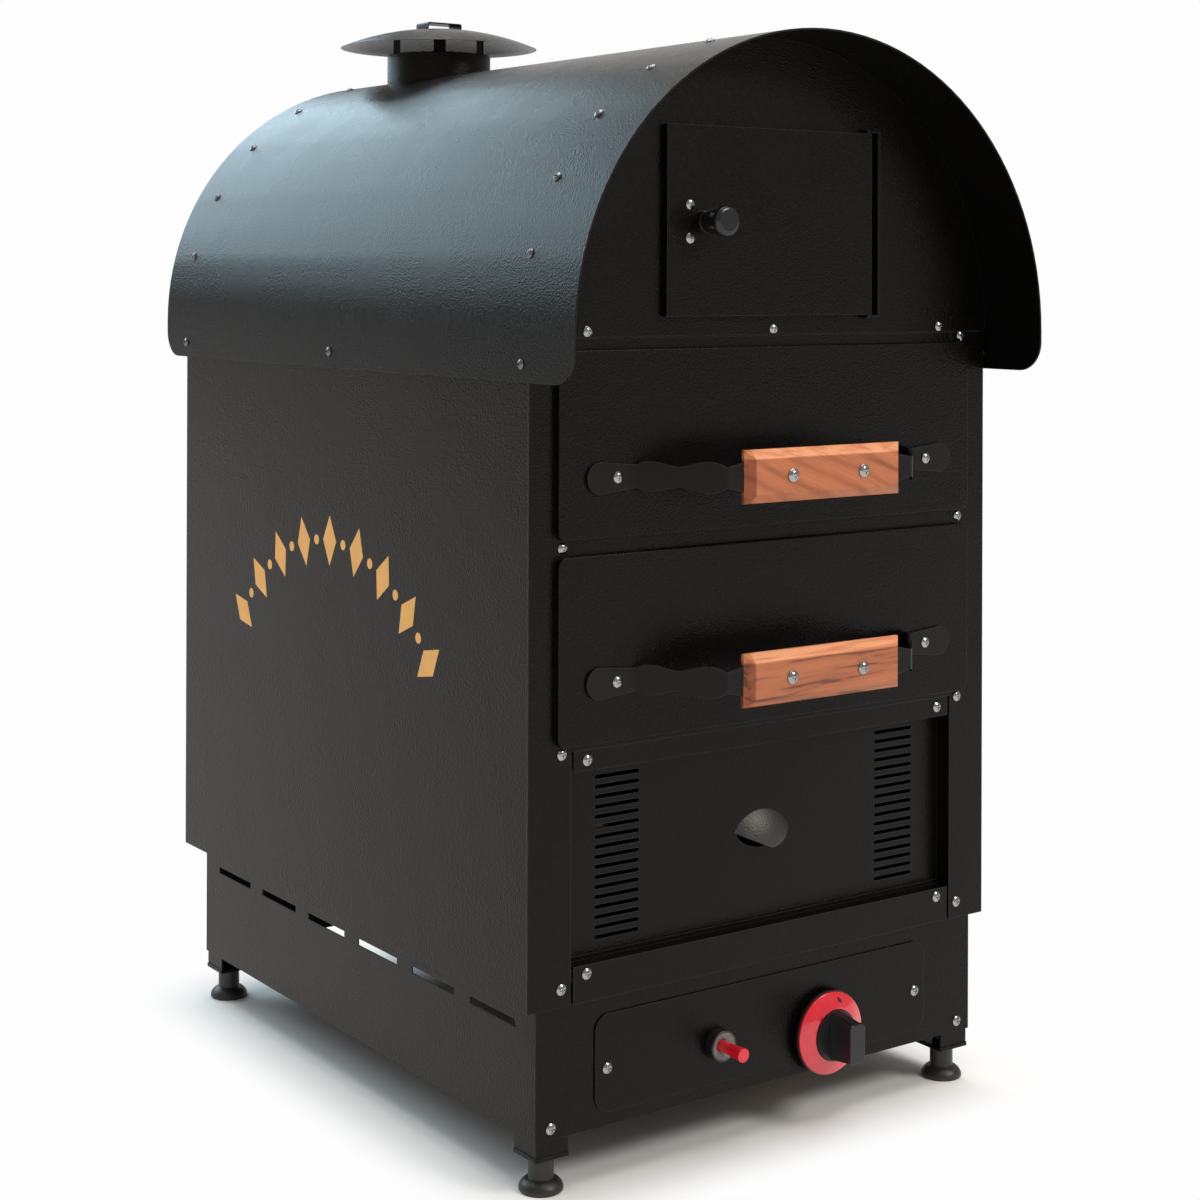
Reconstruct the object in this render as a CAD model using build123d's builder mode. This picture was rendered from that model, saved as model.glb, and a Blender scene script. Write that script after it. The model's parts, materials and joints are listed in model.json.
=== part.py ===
from build123d import *
import math
import os

os.makedirs("parts", exist_ok=True)

# A free-standing gas oven that bakes potatoes in two drawers and keeps them warm behind a
# small door in its arched top. X runs to the right as seen from the front, +Y to the back
# and +Z up. The origin lies on the floor, under the middle of the overall outline.
# Lengths are millimetres. "Depth" means the distance behind the cabinet's front face.

# ------------------------------------------------------------------ driving dimensions
# Cabinet
body_width = 480.0
body_depth = 615.0
body_bottom = 145.0
body_top = 658.0
sheet = 1.5
thin_sheet = 1.2
flange = 18.0
seam = 0.4
seam_depth = 0.9
backing_height = 10.0

# Arched roof
roof_overhang = 4.0
roof_axis_height = 660.0
roof_front = 66.0
roof_back = 38.0
skirt_bottom = 625.0
roof_corner = 25.0
roof_gap = 0.3
gable_flange = 20.0
roof_screw_pitch = 15.0
roof_screws_per_side = 5
roof_screw_front_depth = 5.0
roof_screw_back_depth = 608.0
skirt_screw_height = 639.0
skirt_screw_shift = 5.0

# Base with its posts and feet
base_side_inset = 11.0
base_front_inset = 5.0
base_back_inset = 25.0
base_bottom = 43.0
post_size = 30.0
post_wall = 2.5
post_bottom = 31.0
foot_plate_size = 32.0
foot_plate_thickness = 3.5
foot_radius = 17.5
foot_shank_radius = 10.0
foot_dome_height = 10.0
foot_stem_radius = 4.0
foot_stem_length = 38.0
foot_clearance = 0.05
foot_seat_gap = 0.3
foot_plate_corner = 1.5
foot_nut_wall = 4.0
foot_nut_height = 8.0
foot_rim_chamfer = 1.0
foot_rim_height = 3.0
vent_length = 67.0
vent_height = 5.5
vent_pitch = 92.2
vent_count = 6
vent_first = 66.0
vent_axis_height = 128.0

# Front frame
strip_width = 40.0
return_depth = 25.0
bay_top = 340.0
front_overlap = 4.0
strip_screw_inset = 31.2
strip_screw_heights = (159.0, 339.0, 497.0)
top_corner_screw_inset = 28.0
top_corner_screw_height = 654.5
upper_strip_screw_height = 332.0
lower_strip_screw_height = 167.0
gable_screw_inset = 54.0
gable_screw_height = 663.0
lug_length = 24.0
lug_inset = 15.0
stop_width = 12.0
lug_height = 10.0

# Drawers
drawer_front_inset = 24.0
drawer_front_height = 146.0
drawer_front_depth = 6.0
drawer_front_corner = 8.0
drawer_front_edge = 1.0
drawer_front_gap = 0.3
drawer_pitch = 158.5
lower_front_bottom = 344.5
tray_side_gap = 4.0
tray_depth = 520.0
tray_height = 110.0
tray_floor = 354.0
runner_gap = 0.3
runner_ledge = 14.0
runner_height = 20.0

# Handle of each drawer: a bent strap with a wooden grip
strap_thickness = 2.5
strap_shoulder_x = 179.0
strap_screw_x = 162.8
strap_neck_x = 144.7
strap_bend_x = 97.0
strap_tab_height = 25.0
strap_neck_height = 18.3
strap_bar_height = 23.0
strap_narrow_height = 16.0
strap_standoff = 56.0
strap_bend_radius = 4.0
strap_first_wave = 0.30
strap_second_wave = 0.53
strap_third_wave = 0.78
handle_height = 47.0
grip_length = 162.0
grip_height = 42.0
grip_chamfer = 7.0
grip_thickness = 10.0
grip_groove_gap = 0.3
grip_screw_x = 37.0
grip_head_height = 3.3

# Burner bay
strip_end_gap = 2.5
upper_strip_height = 16.5
lower_strip_height = 29.0
panel_recess = 14.0
panel_guide_gap = 0.3
panel_lip = 4.0
panel_hold = 14.0
panel_overlap = 3.0
louvre_count = 17
louvre_pitch = 7.85
louvre_length = 43.0
louvre_height = 3.2
louvre_x = 146.5
louvre_top = 314.0
scoop_width = 57.0
scoop_arch = 16.0
scoop_corner_height = 250.0
scoop_reach = 12.0
scoop_lip_height = 236.0
scoop_sheet = 1.2

# Warming door in the front gable
door_left = -114.0
door_right = 102.4
door_bottom = 674.0
door_top = 827.0
door_depth = 6.0
door_overlap = 8.0
door_gap = 1.0
pivot_x = 99.5
pivot_depth = -3.9
pivot_radius = 1.5
pivot_clearance = 0.05
pivot_lug_height = 4.0
pivot_lug_reach = 2.2
pivot_head_radius = 2.8
pivot_head = 1.2
pivot_ear_gap = 0.5
pivot_ear = 1.5
pivot_ear_left = 96.5
hinge_strip_x = 108.0
hinge_strip_width = 2.5
hinge_strip_reach = 7.5
door_knob_x = -75.0
door_knob_rise = 76.0
door_knob_reach = 30.0
door_knob_radius = 13.0
door_knob_root_radius = 9.5
door_knob_collar = 4.0
door_knob_groove = 1.2
door_knob_dome = 5.0
door_stud_radius = 2.5
door_stud_length = 3.5
door_shank = 5.0
door_screw_x = -91.2
door_screw_spacing = 27.0
strike_width = 20.0
strike_height = 40.0
strike_inset = 16.0
strike_pad = 8.0
catch_left = -128.0
catch_right = -94.0
catch_height = 25.0
catch_depth = 12.0
catch_gap = 0.3

# Chimney and its rain cap
flue_radius = 52.3
flue_depth = 535.0
flue_rise = 25.0
flue_drop = 32.0
flue_wall = 1.5
flue_flange_radius = 57.5
cap_radius = 100.0
cap_gap = 7.0
cap_rise = 20.0
cap_sheet = 1.5
cap_tab_width = 12.0
cap_tab_thickness = 1.6
cap_tab_drop = 24.0
cap_tab_gap = 0.3
cap_tab_shoulder = 4.0
cap_handle_length = 40.0
cap_handle_width = 24.0
cap_handle_height = 6.2
cap_handle_thickness = 1.2

# Controls
control_width = 348.0
control_height = 77.0
control_bottom = 54.0
control_corner = 13.0
control_screw_x = 162.7
control_screw_height = 88.5
corner_screw_inset = 14.3
corner_screw_height = 52.0
knob_x = 59.0
knob_height = 75.0
knob_lift = 2.5
knob_plate_radius = 34.8
knob_plate = 2.0
skirt_radius = 34.0
skirt_edge = 2.0
skirt_cone = 6.0
knob_boss_radius = 20.8
knob_boss_gap = 0.2
knob_boss_rise = 1.5
knob_bar_reach = 26.0
knob_bar_width = 12.5
knob_bar_root = 40.0
knob_bar_length = 29.0
knob_waist = 1.6
knob_waist_radius = 60.0
knob_bar_corner = 3.0
knob_bar_edge = 1.2
skirt_rim = 0.9
knob_bore_depth = 27.5
knob_push = 3.5
spindle_radius = 4.0
spindle_hole_margin = 2.0
spindle_clearance = 0.05
collar_radius = 8.0
collar_length = 6.0
valve_width = 28.0
valve_height = 30.0
valve_front = 22.0
valve_back = 58.0
valve_neck_radius = 9.0
valve_chamber_front = 34.0
valve_chamber_back = 50.0
valve_corner = 3.0
collar_front = 36.0
spindle_tail = 2.0
igniter_x = -53.5
igniter_height = 86.0
igniter_flange_radius = 12.7
igniter_flange_reach = 9.0
igniter_dish_radius = 11.2
igniter_dish_depth = 3.0
igniter_barrel_radius = 9.0
igniter_back = 44.0
panel_hole_gap = 0.3
button_radius = 4.7
button_reach = 34.0
button_back = 20.0
button_edge = 0.6
button_travel = 6.0
button_clearance = 0.05

# Gas train and burner
burner_radius = 18.0
burner_wall = 1.5
burner_height = 215.0
burner_front = 70.0
burner_back = 520.0
burner_port_radius = 1.5
burner_port_count = 24
burner_port_lean = 35.0
feed_pipe_radius = 4.0
feed_bend = 15.0
feed_depth = 32.0
injector_radius = 7.0
injector_front = 58.0
injector_back = 68.0
nozzle_radius = 3.0
nozzle_length = 8.0
bracket_width = 84.0
bracket_thickness = 2.0
bracket_depths = (100.0, 500.0)
bracket_rim = 6.0
bracket_foot = 18.0
bracket_saddle_gap = 0.2
probe_x = 34.0
electrode_radius = 3.5
probe_radius = 2.5
probe_front = 86.0
probe_back = 125.0
probe_hole_gap = 0.1
spark_run = 14.0
spark_wire_radius = 1.0
spark_wire_bend = 5.0
lead_depth = 62.0
lead_bend = 14.0
lead_rise = 50.0
deck_hole_margin = 2.0
deck_gap = 0.5
supply_pipe_radius = 6.0
supply_bend = 24.0
supply_depth = 42.0
inlet_x = 150.0
inlet_nipple_radius = 10.5
inlet_nipple_length = 24.0
inlet_neck_radius = 9.8
inlet_neck_gap = 0.5
inlet_hex_radius = 15.0
inlet_hex_length = 9.0
lead_radius = 2.5
deck_opening_width = 300.0
deck_opening_front = 350.0
deck_opening_back = 470.0
deflector_height = 300.0
deflector_front = 90.0
deflector_back = 500.0
deflector_flange = 15.0
insulation_gap = 0.3
liner_back_gap = 9.0
insulation_top = 627.0
shelf_slot_length = 46.0
shelf_slot_width = 8.0
shelf_slot_spacing = 80.0
shelf_slot_pitch = 36.0
shelf_slot_columns = 5
shelf_slots_per_column = 14

# Screws
head_radius = 4.0
head_height = 2.3
head_side = 0.3
head_shoulder = 0.6
head_crown = 0.82
recess_length = 4.4
recess_width = 0.9
recess_depth = 1.2
shank_radius = 2.0
front_shank = 5.0
tab_shank = 6.5
grip_shank = 11.0
hole_clearance = 0.15
roof_shank_length = 7.0

# ------------------------------------------------------------------ worked-out dimensions
half_body = body_width / 2
half_base = half_body - base_side_inset
inside_x = half_body - sheet
opening_x = half_body - strip_width
return_x = opening_x + sheet
strip_screw_x = half_body - strip_screw_inset
top_corner_screw_x = half_body - top_corner_screw_inset
gable_screw_x = half_body - gable_screw_inset
corner_screw_x = half_base - corner_screw_inset
drawer_front_width = body_width - 2 * drawer_front_inset
tray_half_width = opening_x - tray_side_gap
door_knob_height = door_bottom + door_knob_rise
roof_radius = half_body + roof_overhang
roof_inner = roof_radius - sheet
gable_radius = roof_inner - roof_gap
flue_top = roof_axis_height + roof_radius + flue_rise
flue_bottom = roof_axis_height + roof_radius - flue_drop
cap_rim_height = flue_top + cap_gap
hole_radius = shank_radius + hole_clearance
strap_front = -(drawer_front_depth + strap_standoff)
grip_front = strap_front - grip_thickness + strap_thickness
handle_reach = -grip_front + grip_head_height
front_y = (handle_reach - body_depth - roof_back) / 2
lower_opening = lower_front_bottom + front_overlap
opening_height = drawer_front_height - 2 * front_overlap
base_front = base_front_inset
base_back = body_depth - base_back_inset
control_face = base_front - sheet
deck_bottom = body_bottom + sheet
deck_top = deck_bottom + sheet
liner_front = return_depth + runner_gap
liner_back = body_depth - strip_width - liner_back_gap
shelf_front = 2 * sheet + insulation_gap
shelf_back = body_depth - 2 * sheet
drawer_offsets = {"lower": 0.0, "upper": drawer_pitch}
panel_back = panel_recess + sheet
strip_lip = panel_recess - panel_guide_gap


# ------------------------------------------------------------------ shared helpers
def y_at(depth):
    """The Y coordinate of a depth behind the cabinet's front face."""
    return front_y + depth


def slab(x, depth, z, mode=Mode.ADD):
    """A rectangular block between two limits in X, in depth and in height."""
    with Locations(((x[0] + x[1]) / 2, y_at((depth[0] + depth[1]) / 2), (z[0] + z[1]) / 2)):
        Box(x[1] - x[0], depth[1] - depth[0], z[1] - z[0], mode=mode)


def facing_front(x, depth, z):
    """A plane at a point whose normal looks out of the front, with its X to the right."""
    return Plane(origin=(x, y_at(depth), z), x_dir=(1, 0, 0), z_dir=(0, -1, 0))


def facing_back(x, depth, z):
    return Plane(origin=(x, y_at(depth), z), x_dir=(-1, 0, 0), z_dir=(0, 1, 0))


def facing_side(side, x, depth, z):
    return Plane(origin=(side * x, y_at(depth), z), x_dir=(0, side, 0), z_dir=(side, 0, 0))


def holes_at(planes, radius, length):
    """Holes centred on each plane's origin, half of the length to each side."""
    with Locations(*planes):
        Cylinder(radius, length, mode=Mode.SUBTRACT)


def pan_head_screw(length, head):
    """A cross-recessed pan-head screw, its head standing on the XY plane."""
    with BuildPart() as screw:
        with BuildSketch(Plane.XZ):
            with BuildLine():
                Line((0, -length), (shank_radius, -length))
                Line((shank_radius, -length), (shank_radius, 0))
                Line((shank_radius, 0), (head_radius, 0))
                Line((head_radius, 0), (head_radius, head * head_side))
                ThreePointArc((head_radius, head * head_side),
                              (head_radius * head_shoulder, head * head_crown), (0, head))
                Line((0, head), (0, -length))
            make_face()
        revolve(axis=Axis.Z)
        with Locations((0, 0, head)):
            Box(recess_length, recess_width, 2 * recess_depth, mode=Mode.SUBTRACT)
            Box(recess_width, recess_length, 2 * recess_depth, mode=Mode.SUBTRACT)
    return screw.part


def screws_at(planes, length, head=head_height):
    """One screw on each plane, as separate solids."""
    master = pan_head_screw(length, head)
    with BuildPart() as group:
        with Locations(*planes):
            add(master)
    return list(group.part.solids())


def publish_group(solids, name):
    """Labels separate solids that share one node and writes them to one file."""
    group = Compound(children=list(solids))
    group.label = name
    export_step(group, "parts/" + name + ".step")


def tube_along(points, outer, bends):
    """A round rod along straight runs joined by tangent arcs."""
    with BuildPart() as tube:
        with BuildLine() as route:
            FilletPolyline(*points, radius=bends)
        with BuildSketch(Plane(origin=route.line @ 0, z_dir=route.line % 0)):
            Circle(outer)
        sweep()
    return tube


def crossing(route, z):
    """The point where a route's rising run crosses a height."""
    for a, b in zip(route, route[1:]):
        if min(a[2], b[2]) < z < max(a[2], b[2]):
            t = (z - a[2]) / (b[2] - a[2])
            return (a[0] + t * (b[0] - a[0]), a[1] + t * (b[1] - a[1]), z)


def publish(piece, name):
    """Labels a finished piece and writes it to its own file."""
    piece.part.label = name
    export_step(piece.part, "parts/" + name + ".step")


# ------------------------------------------------------------------ where the screws stand
strip_screws = [facing_front(s * strip_screw_x, 0, z) for s in (-1, 1) for z in strip_screw_heights]
top_corner_screws = [facing_front(s * top_corner_screw_x, 0, top_corner_screw_height) for s in (-1, 1)]
lug_x = opening_x - lug_inset
upper_strip_screws = [facing_front(s * lug_x, 0, upper_strip_screw_height) for s in (-1, 1)]
lower_strip_screws = [facing_front(s * lug_x, 0, lower_strip_screw_height) for s in (-1, 1)]
gable_screws = [facing_front(x * gable_screw_x, 0, gable_screw_height) for x in (-1, 0, 1)]
corner_screws = [facing_front(s * corner_screw_x, base_front, corner_screw_height) for s in (-1, 1)]
control_screws = [facing_front(s * control_screw_x, control_face, control_screw_height) for s in (-1, 1)]


def on_roof(angle, depth):
    """A plane on the roof's outside at an angle up from the horizontal, facing outwards."""
    a = math.radians(angle)
    out = (math.cos(a), 0, math.sin(a))
    return Plane(origin=(roof_radius * out[0], y_at(depth), roof_axis_height + roof_radius * out[2]),
                 x_dir=(0, 1, 0), z_dir=out)


row_angles = [roof_screw_pitch * i for i in range(1, roof_screws_per_side + 1)]
row_angles += [180.0 - a for a in row_angles]
roof_rows = [on_roof(a, d) for d in (roof_screw_front_depth, roof_screw_back_depth) for a in row_angles]
skirt_screw_depths = (roof_screw_front_depth, body_depth / 2 + skirt_screw_shift, roof_screw_back_depth)
skirt_screws = [facing_side(s, roof_radius, d, skirt_screw_height)
                for s in (-1, 1) for d in skirt_screw_depths]
skirt_spacers = [facing_side(s, half_body, d, skirt_screw_height)
                 for s in (-1, 1) for d in skirt_screw_depths]
door_screws_at = [facing_front(door_screw_x, -door_depth, door_knob_height + s * door_screw_spacing / 2)
                  for s in (-1, 1)]

# ------------------------------------------------------------------ where the pipes and leads run
valve_top = knob_height + valve_height / 2
feed_route = [(knob_x - valve_width / 2, y_at(feed_depth), knob_height),
              (0, y_at(feed_depth), knob_height),
              (0, y_at(feed_depth), burner_height),
              (0, y_at(injector_front), burner_height)]
supply_route = [(inlet_x, y_at(base_back - sheet - inlet_hex_length), knob_height),
                (inlet_x, y_at(supply_depth), knob_height),
                (knob_x + valve_width / 2, y_at(supply_depth), knob_height)]
lead_route = [(igniter_x, y_at(igniter_back), igniter_height),
              (igniter_x, y_at(lead_depth), igniter_height),
              (-probe_x, y_at(lead_depth), burner_height),
              (-probe_x, y_at(probe_front), burner_height)]
probe_route = [(probe_x, y_at(probe_front), burner_height),
               (probe_x, y_at(lead_depth), burner_height),
               (knob_x, y_at(valve_chamber_back), knob_height + lead_rise),
               (knob_x, y_at(valve_chamber_back), valve_top)]

# ------------------------------------------------------------------ base
base_side_x = (half_base - sheet, half_base)
vent_depths = [vent_first + vent_pitch * i for i in range(vent_count)]
with BuildPart() as base_side_panels:
    for side in (-1, 1):
        outer = sorted((side * base_side_x[0], side * base_side_x[1]))
        inner = sorted((side * (half_base - flange), side * half_base))
        slab(outer, (base_front + sheet, base_back - sheet), (base_bottom, body_bottom))
        slab(inner, (base_front + sheet + post_size, base_back - sheet - post_size),
             (body_bottom - sheet, body_bottom))
        for depth in vent_depths:
            slab(outer, (depth - vent_length / 2, depth + vent_length / 2),
                 (vent_axis_height - vent_height / 2, vent_axis_height + vent_height / 2), Mode.SUBTRACT)
publish(base_side_panels, "base_side_panels")

with BuildPart() as base_front_panel:
    slab((-half_base, half_base), (base_front, base_front + sheet), (base_bottom, body_bottom))
    slab((-half_base + post_size + sheet, half_base - post_size - sheet),
         (base_front, base_front + flange), (body_bottom - sheet, body_bottom))
    holes_at(corner_screws + control_screws, hole_radius, 4 * sheet)
    holes_at([facing_front(knob_x, base_front, knob_height)], spindle_radius + spindle_hole_margin, 4 * sheet)
    holes_at([facing_front(igniter_x, base_front, igniter_height)], igniter_barrel_radius + panel_hole_gap,
             4 * sheet)
publish(base_front_panel, "base_front_panel")

with BuildPart() as base_rear_panel:
    slab((-half_base, half_base), (base_back - sheet, base_back), (base_bottom, body_bottom))
    holes_at([facing_back(inlet_x, base_back, knob_height)], inlet_nipple_radius + panel_hole_gap, 4 * sheet)
publish(base_rear_panel, "base_rear_panel")

post_x = half_base - sheet
post_front = base_front + sheet
post_back = base_back - sheet
foot_x = post_x - post_size / 2
foot_depths = (post_front + post_size / 2, post_back - post_size / 2)
post_corners = [(sx, depth, sy) for sx in (-1, 1) for depth, sy in ((post_front, 1), (post_back, -1))]
with BuildPart() as corner_posts:
    for sx, depth, sy in post_corners:
        x_leg = sorted((sx * post_x, sx * (post_x - post_size)))
        x_wall = sorted((sx * post_x, sx * (post_x - post_wall)))
        d_leg = sorted((depth, depth + sy * post_size))
        d_wall = sorted((depth, depth + sy * post_wall))
        slab(x_leg, d_wall, (post_bottom, body_bottom - sheet))
        slab(x_wall, d_leg, (post_bottom, body_bottom - sheet))
    holes_at(corner_screws, hole_radius, 6 * post_wall)
publish(corner_posts, "corner_posts")

foot_places = [(sx * foot_x, y_at(depth)) for sx in (-1, 1) for depth in foot_depths]
plate_bottom = post_bottom - foot_plate_thickness
with BuildPart() as foot_plates:
    with Locations(*[(x, y, plate_bottom) for x, y in foot_places]):
        Box(foot_plate_size, foot_plate_size, foot_plate_thickness,
            align=(Align.CENTER, Align.CENTER, Align.MIN))
    fillet(foot_plates.edges().filter_by(Axis.Z), foot_plate_corner)
    with Locations(*[(x, y, post_bottom) for x, y in foot_places]):
        Cylinder(foot_stem_radius + foot_nut_wall, foot_nut_height,
                 align=(Align.CENTER, Align.CENTER, Align.MIN))
        Cylinder(foot_stem_radius + foot_clearance, 4 * foot_plate_size, mode=Mode.SUBTRACT)
publish(foot_plates, "foot_plates")

foot_shank_top = plate_bottom - foot_seat_gap
foot_stem_top = foot_shank_top + foot_stem_length
foot_names = {(-1, 0): "foot_front_left", (1, 0): "foot_front_right",
              (-1, 1): "foot_rear_left", (1, 1): "foot_rear_right"}
for (sx, row), foot_name in foot_names.items():
    with BuildPart(Plane(origin=(sx * foot_x, y_at(foot_depths[row]), 0))) as foot:
        with BuildSketch(Plane(origin=(sx * foot_x, y_at(foot_depths[row]), 0), x_dir=(1, 0, 0),
                               z_dir=(0, -1, 0))):
            with BuildLine():
                Line((0, 0), (foot_radius - foot_rim_chamfer, 0))
                Line((foot_radius - foot_rim_chamfer, 0), (foot_radius, foot_rim_chamfer))
                Line((foot_radius, foot_rim_chamfer), (foot_radius, foot_rim_height))
                RadiusArc((foot_radius, foot_rim_height), (foot_shank_radius, foot_dome_height),
                          -foot_dome_height)
                Line((foot_shank_radius, foot_dome_height), (foot_shank_radius, foot_shank_top))
                Line((foot_shank_radius, foot_shank_top), (foot_stem_radius, foot_shank_top))
                Line((foot_stem_radius, foot_shank_top), (foot_stem_radius, foot_stem_top))
                Line((foot_stem_radius, foot_stem_top), (0, foot_stem_top))
                Line((0, foot_stem_top), (0, 0))
            make_face()
        revolve(axis=Axis((sx * foot_x, y_at(foot_depths[row]), 0), (0, 0, 1)))
    publish(foot, foot_name)

with BuildPart() as control_panel:
    with BuildSketch(facing_front(0, base_front, control_bottom + control_height / 2)):
        RectangleRounded(control_width, control_height, control_corner)
    extrude(amount=sheet)
    holes_at(control_screws, hole_radius, 4 * sheet)
    holes_at([facing_front(knob_x, base_front, knob_height)], spindle_radius + spindle_hole_margin, 4 * sheet)
    holes_at([facing_front(igniter_x, base_front, igniter_height)], igniter_barrel_radius + panel_hole_gap,
             4 * sheet)
publish(control_panel, "control_panel")

# ------------------------------------------------------------------ cabinet shell
with BuildPart() as base_deck:
    slab((-inside_x + deck_gap, inside_x - deck_gap),
         (2 * sheet + deck_gap, body_depth - 2 * sheet - deck_gap), (deck_bottom, deck_top))
    slab((-deck_opening_width / 2, deck_opening_width / 2), (deck_opening_front, deck_opening_back),
         (deck_bottom, deck_top), Mode.SUBTRACT)
    for route in (feed_route, lead_route, probe_route):
        with Locations(crossing(route, deck_top)):
            Cylinder(feed_pipe_radius + deck_hole_margin, 4 * sheet, mode=Mode.SUBTRACT)
publish(base_deck, "base_deck")

with BuildPart() as side_panels:
    for side in (-1, 1):
        outer = sorted((side * inside_x, side * half_body))
        turned = sorted((side * (half_body - flange), side * half_body))
        bottom_turn = sorted((side * (half_base - flange), side * half_body))
        front_turn = sorted((side * (return_x + seam), side * half_body))
        slab(outer, (sheet, body_depth - sheet), (body_bottom, body_top))
        slab(bottom_turn, (sheet, body_depth - sheet), (body_bottom, body_bottom + sheet))
        slab(turned, (sheet, body_depth - sheet), (body_top - sheet, body_top))
        slab(front_turn, (sheet, 2 * sheet), (body_bottom, body_top))
        slab(turned, (body_depth - 2 * sheet, body_depth - sheet), (body_bottom, body_top))
    holes_at(strip_screws + top_corner_screws, hole_radius, 8 * sheet)
    holes_at(skirt_spacers, hole_radius, 8 * sheet)
publish(side_panels, "side_panels")

with BuildPart() as rear_panel:
    slab((-half_body, half_body), (body_depth - sheet, body_depth), (body_bottom, roof_axis_height))
    with BuildSketch(facing_back(0, body_depth - sheet, roof_axis_height)):
        Circle(gable_radius)
        with Locations((0, -gable_radius)):
            Rectangle(2 * gable_radius, 2 * gable_radius, mode=Mode.SUBTRACT)
    extrude(amount=sheet)
    with BuildSketch(facing_back(0, body_depth - sheet, roof_axis_height)):
        Circle(gable_radius)
        Circle(gable_radius - sheet, mode=Mode.SUBTRACT)
        with Locations((0, -gable_radius)):
            Rectangle(2 * gable_radius, 2 * gable_radius, mode=Mode.SUBTRACT)
    extrude(amount=-gable_flange)
    holes_at([on_roof(a, roof_screw_back_depth) for a in row_angles], hole_radius, 8 * sheet)
publish(rear_panel, "rear_panel")

drawer_sills = [lower_opening + offset for offset in drawer_offsets.values()]
rail_heights = [(drawer_sills[0] + opening_height + sheet, drawer_sills[1] - sheet),
                (drawer_sills[1] + opening_height + sheet, body_top)]
with BuildPart() as front_frame:
    slab((-half_body, half_body), (0, sheet), (body_bottom, body_top))
    slab((-opening_x, opening_x), (0, sheet), (body_bottom, bay_top), Mode.SUBTRACT)
    for z in drawer_sills:
        slab((-opening_x, opening_x), (0, sheet), (z, z + opening_height), Mode.SUBTRACT)
    for side in (-1, 1):
        wall = sorted((side * opening_x, side * return_x))
        stop = sorted((side * (opening_x - stop_width), side * return_x))
        lug = sorted((side * (opening_x - lug_length), side * return_x))
        slab(wall, (0, return_depth), (deck_top, body_top))
        slab(stop, (panel_back + panel_guide_gap, panel_back + panel_guide_gap + sheet),
             (body_bottom + lower_strip_height + panel_lip, bay_top + panel_lip))
        for z in (upper_strip_screw_height, lower_strip_screw_height):
            slab(lug, (sheet, 2 * sheet), (z - lug_height / 2, z + lug_height / 2))
    for z in drawer_sills:
        slab((-return_x, return_x), (0, return_depth), (z - sheet, z))
    for z in [s + opening_height for s in drawer_sills]:
        slab((-return_x, return_x), (0, return_depth), (z, z + sheet))
    slab((-return_x, return_x), (sheet, 2 * sheet), (body_top - backing_height, body_top + backing_height))
    for side in (-1, 1):
        for z in rail_heights:
            slab((side * opening_x - seam, side * opening_x + seam), (0, seam_depth), z, Mode.SUBTRACT)
    holes_at(strip_screws + top_corner_screws + upper_strip_screws + lower_strip_screws + gable_screws,
             hole_radius, 8 * sheet)
publish(front_frame, "front_frame")

with BuildPart() as front_gable:
    with BuildSketch(facing_front(0, sheet, roof_axis_height)):
        Circle(gable_radius)
        with Locations((0, -gable_radius)):
            Rectangle(2 * gable_radius, 2 * gable_radius, mode=Mode.SUBTRACT)
        with Locations((0, (body_top + seam - roof_axis_height) / 2)):
            Rectangle(body_width - 2 * seam, roof_axis_height - body_top - seam)
    extrude(amount=sheet)
    with BuildSketch(facing_front(0, 0, roof_axis_height)):
        Circle(gable_radius)
        Circle(gable_radius - sheet, mode=Mode.SUBTRACT)
        with Locations((0, -gable_radius)):
            Rectangle(2 * gable_radius, 2 * gable_radius, mode=Mode.SUBTRACT)
    extrude(amount=-gable_flange)
    slab((door_left + door_overlap, door_right - door_overlap), (0, sheet),
         (door_bottom + door_overlap, door_top - door_overlap), Mode.SUBTRACT)
    holes_at([on_roof(a, roof_screw_front_depth) for a in row_angles], hole_radius, 8 * sheet)
    holes_at(gable_screws, hole_radius, 4 * sheet)
publish(front_gable, "front_gable")

skirt_height = roof_axis_height - skirt_bottom
with BuildPart() as roof_shell:
    with BuildSketch(facing_front(0, -roof_front, roof_axis_height)):
        with BuildLine():
            ThreePointArc((-roof_radius, 0), (0, roof_radius), (roof_radius, 0))
            Line((roof_radius, 0), (roof_radius, -skirt_height))
            Line((roof_radius, -skirt_height), (roof_inner, -skirt_height))
            Line((roof_inner, -skirt_height), (roof_inner, 0))
            ThreePointArc((roof_inner, 0), (0, roof_inner), (-roof_inner, 0))
            Line((-roof_inner, 0), (-roof_inner, -skirt_height))
            Line((-roof_inner, -skirt_height), (-roof_radius, -skirt_height))
            Line((-roof_radius, -skirt_height), (-roof_radius, 0))
        make_face()
    extrude(amount=-(roof_front + body_depth + roof_back))
    lower_corners = roof_shell.edges().filter_by(Axis.X).group_by(Axis.Z)[0]
    fillet([e for e in lower_corners if e.length < 2 * sheet], roof_corner)
    with Locations((0, y_at(flue_depth), roof_axis_height)):
        Cylinder(flue_radius + roof_gap, 2 * roof_radius, mode=Mode.SUBTRACT,
                 align=(Align.CENTER, Align.CENTER, Align.MIN))
    holes_at(roof_rows, hole_radius, 4 * sheet)
    holes_at(skirt_screws, hole_radius, 4 * sheet)
publish(roof_shell, "roof_shell")

spacer_width = roof_inner - half_body
with BuildPart() as roof_spacers:
    for side in (-1, 1):
        for depth in skirt_screw_depths:
            with BuildSketch(facing_side(side, half_body, depth, skirt_screw_height)):
                Circle(2 * shank_radius)
                Circle(hole_radius, mode=Mode.SUBTRACT)
            extrude(amount=spacer_width)
roof_screws = screws_at(roof_rows + skirt_screws, roof_shank_length)
publish_group(roof_screws + list(roof_spacers.part.solids()), "roof_screws")

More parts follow.
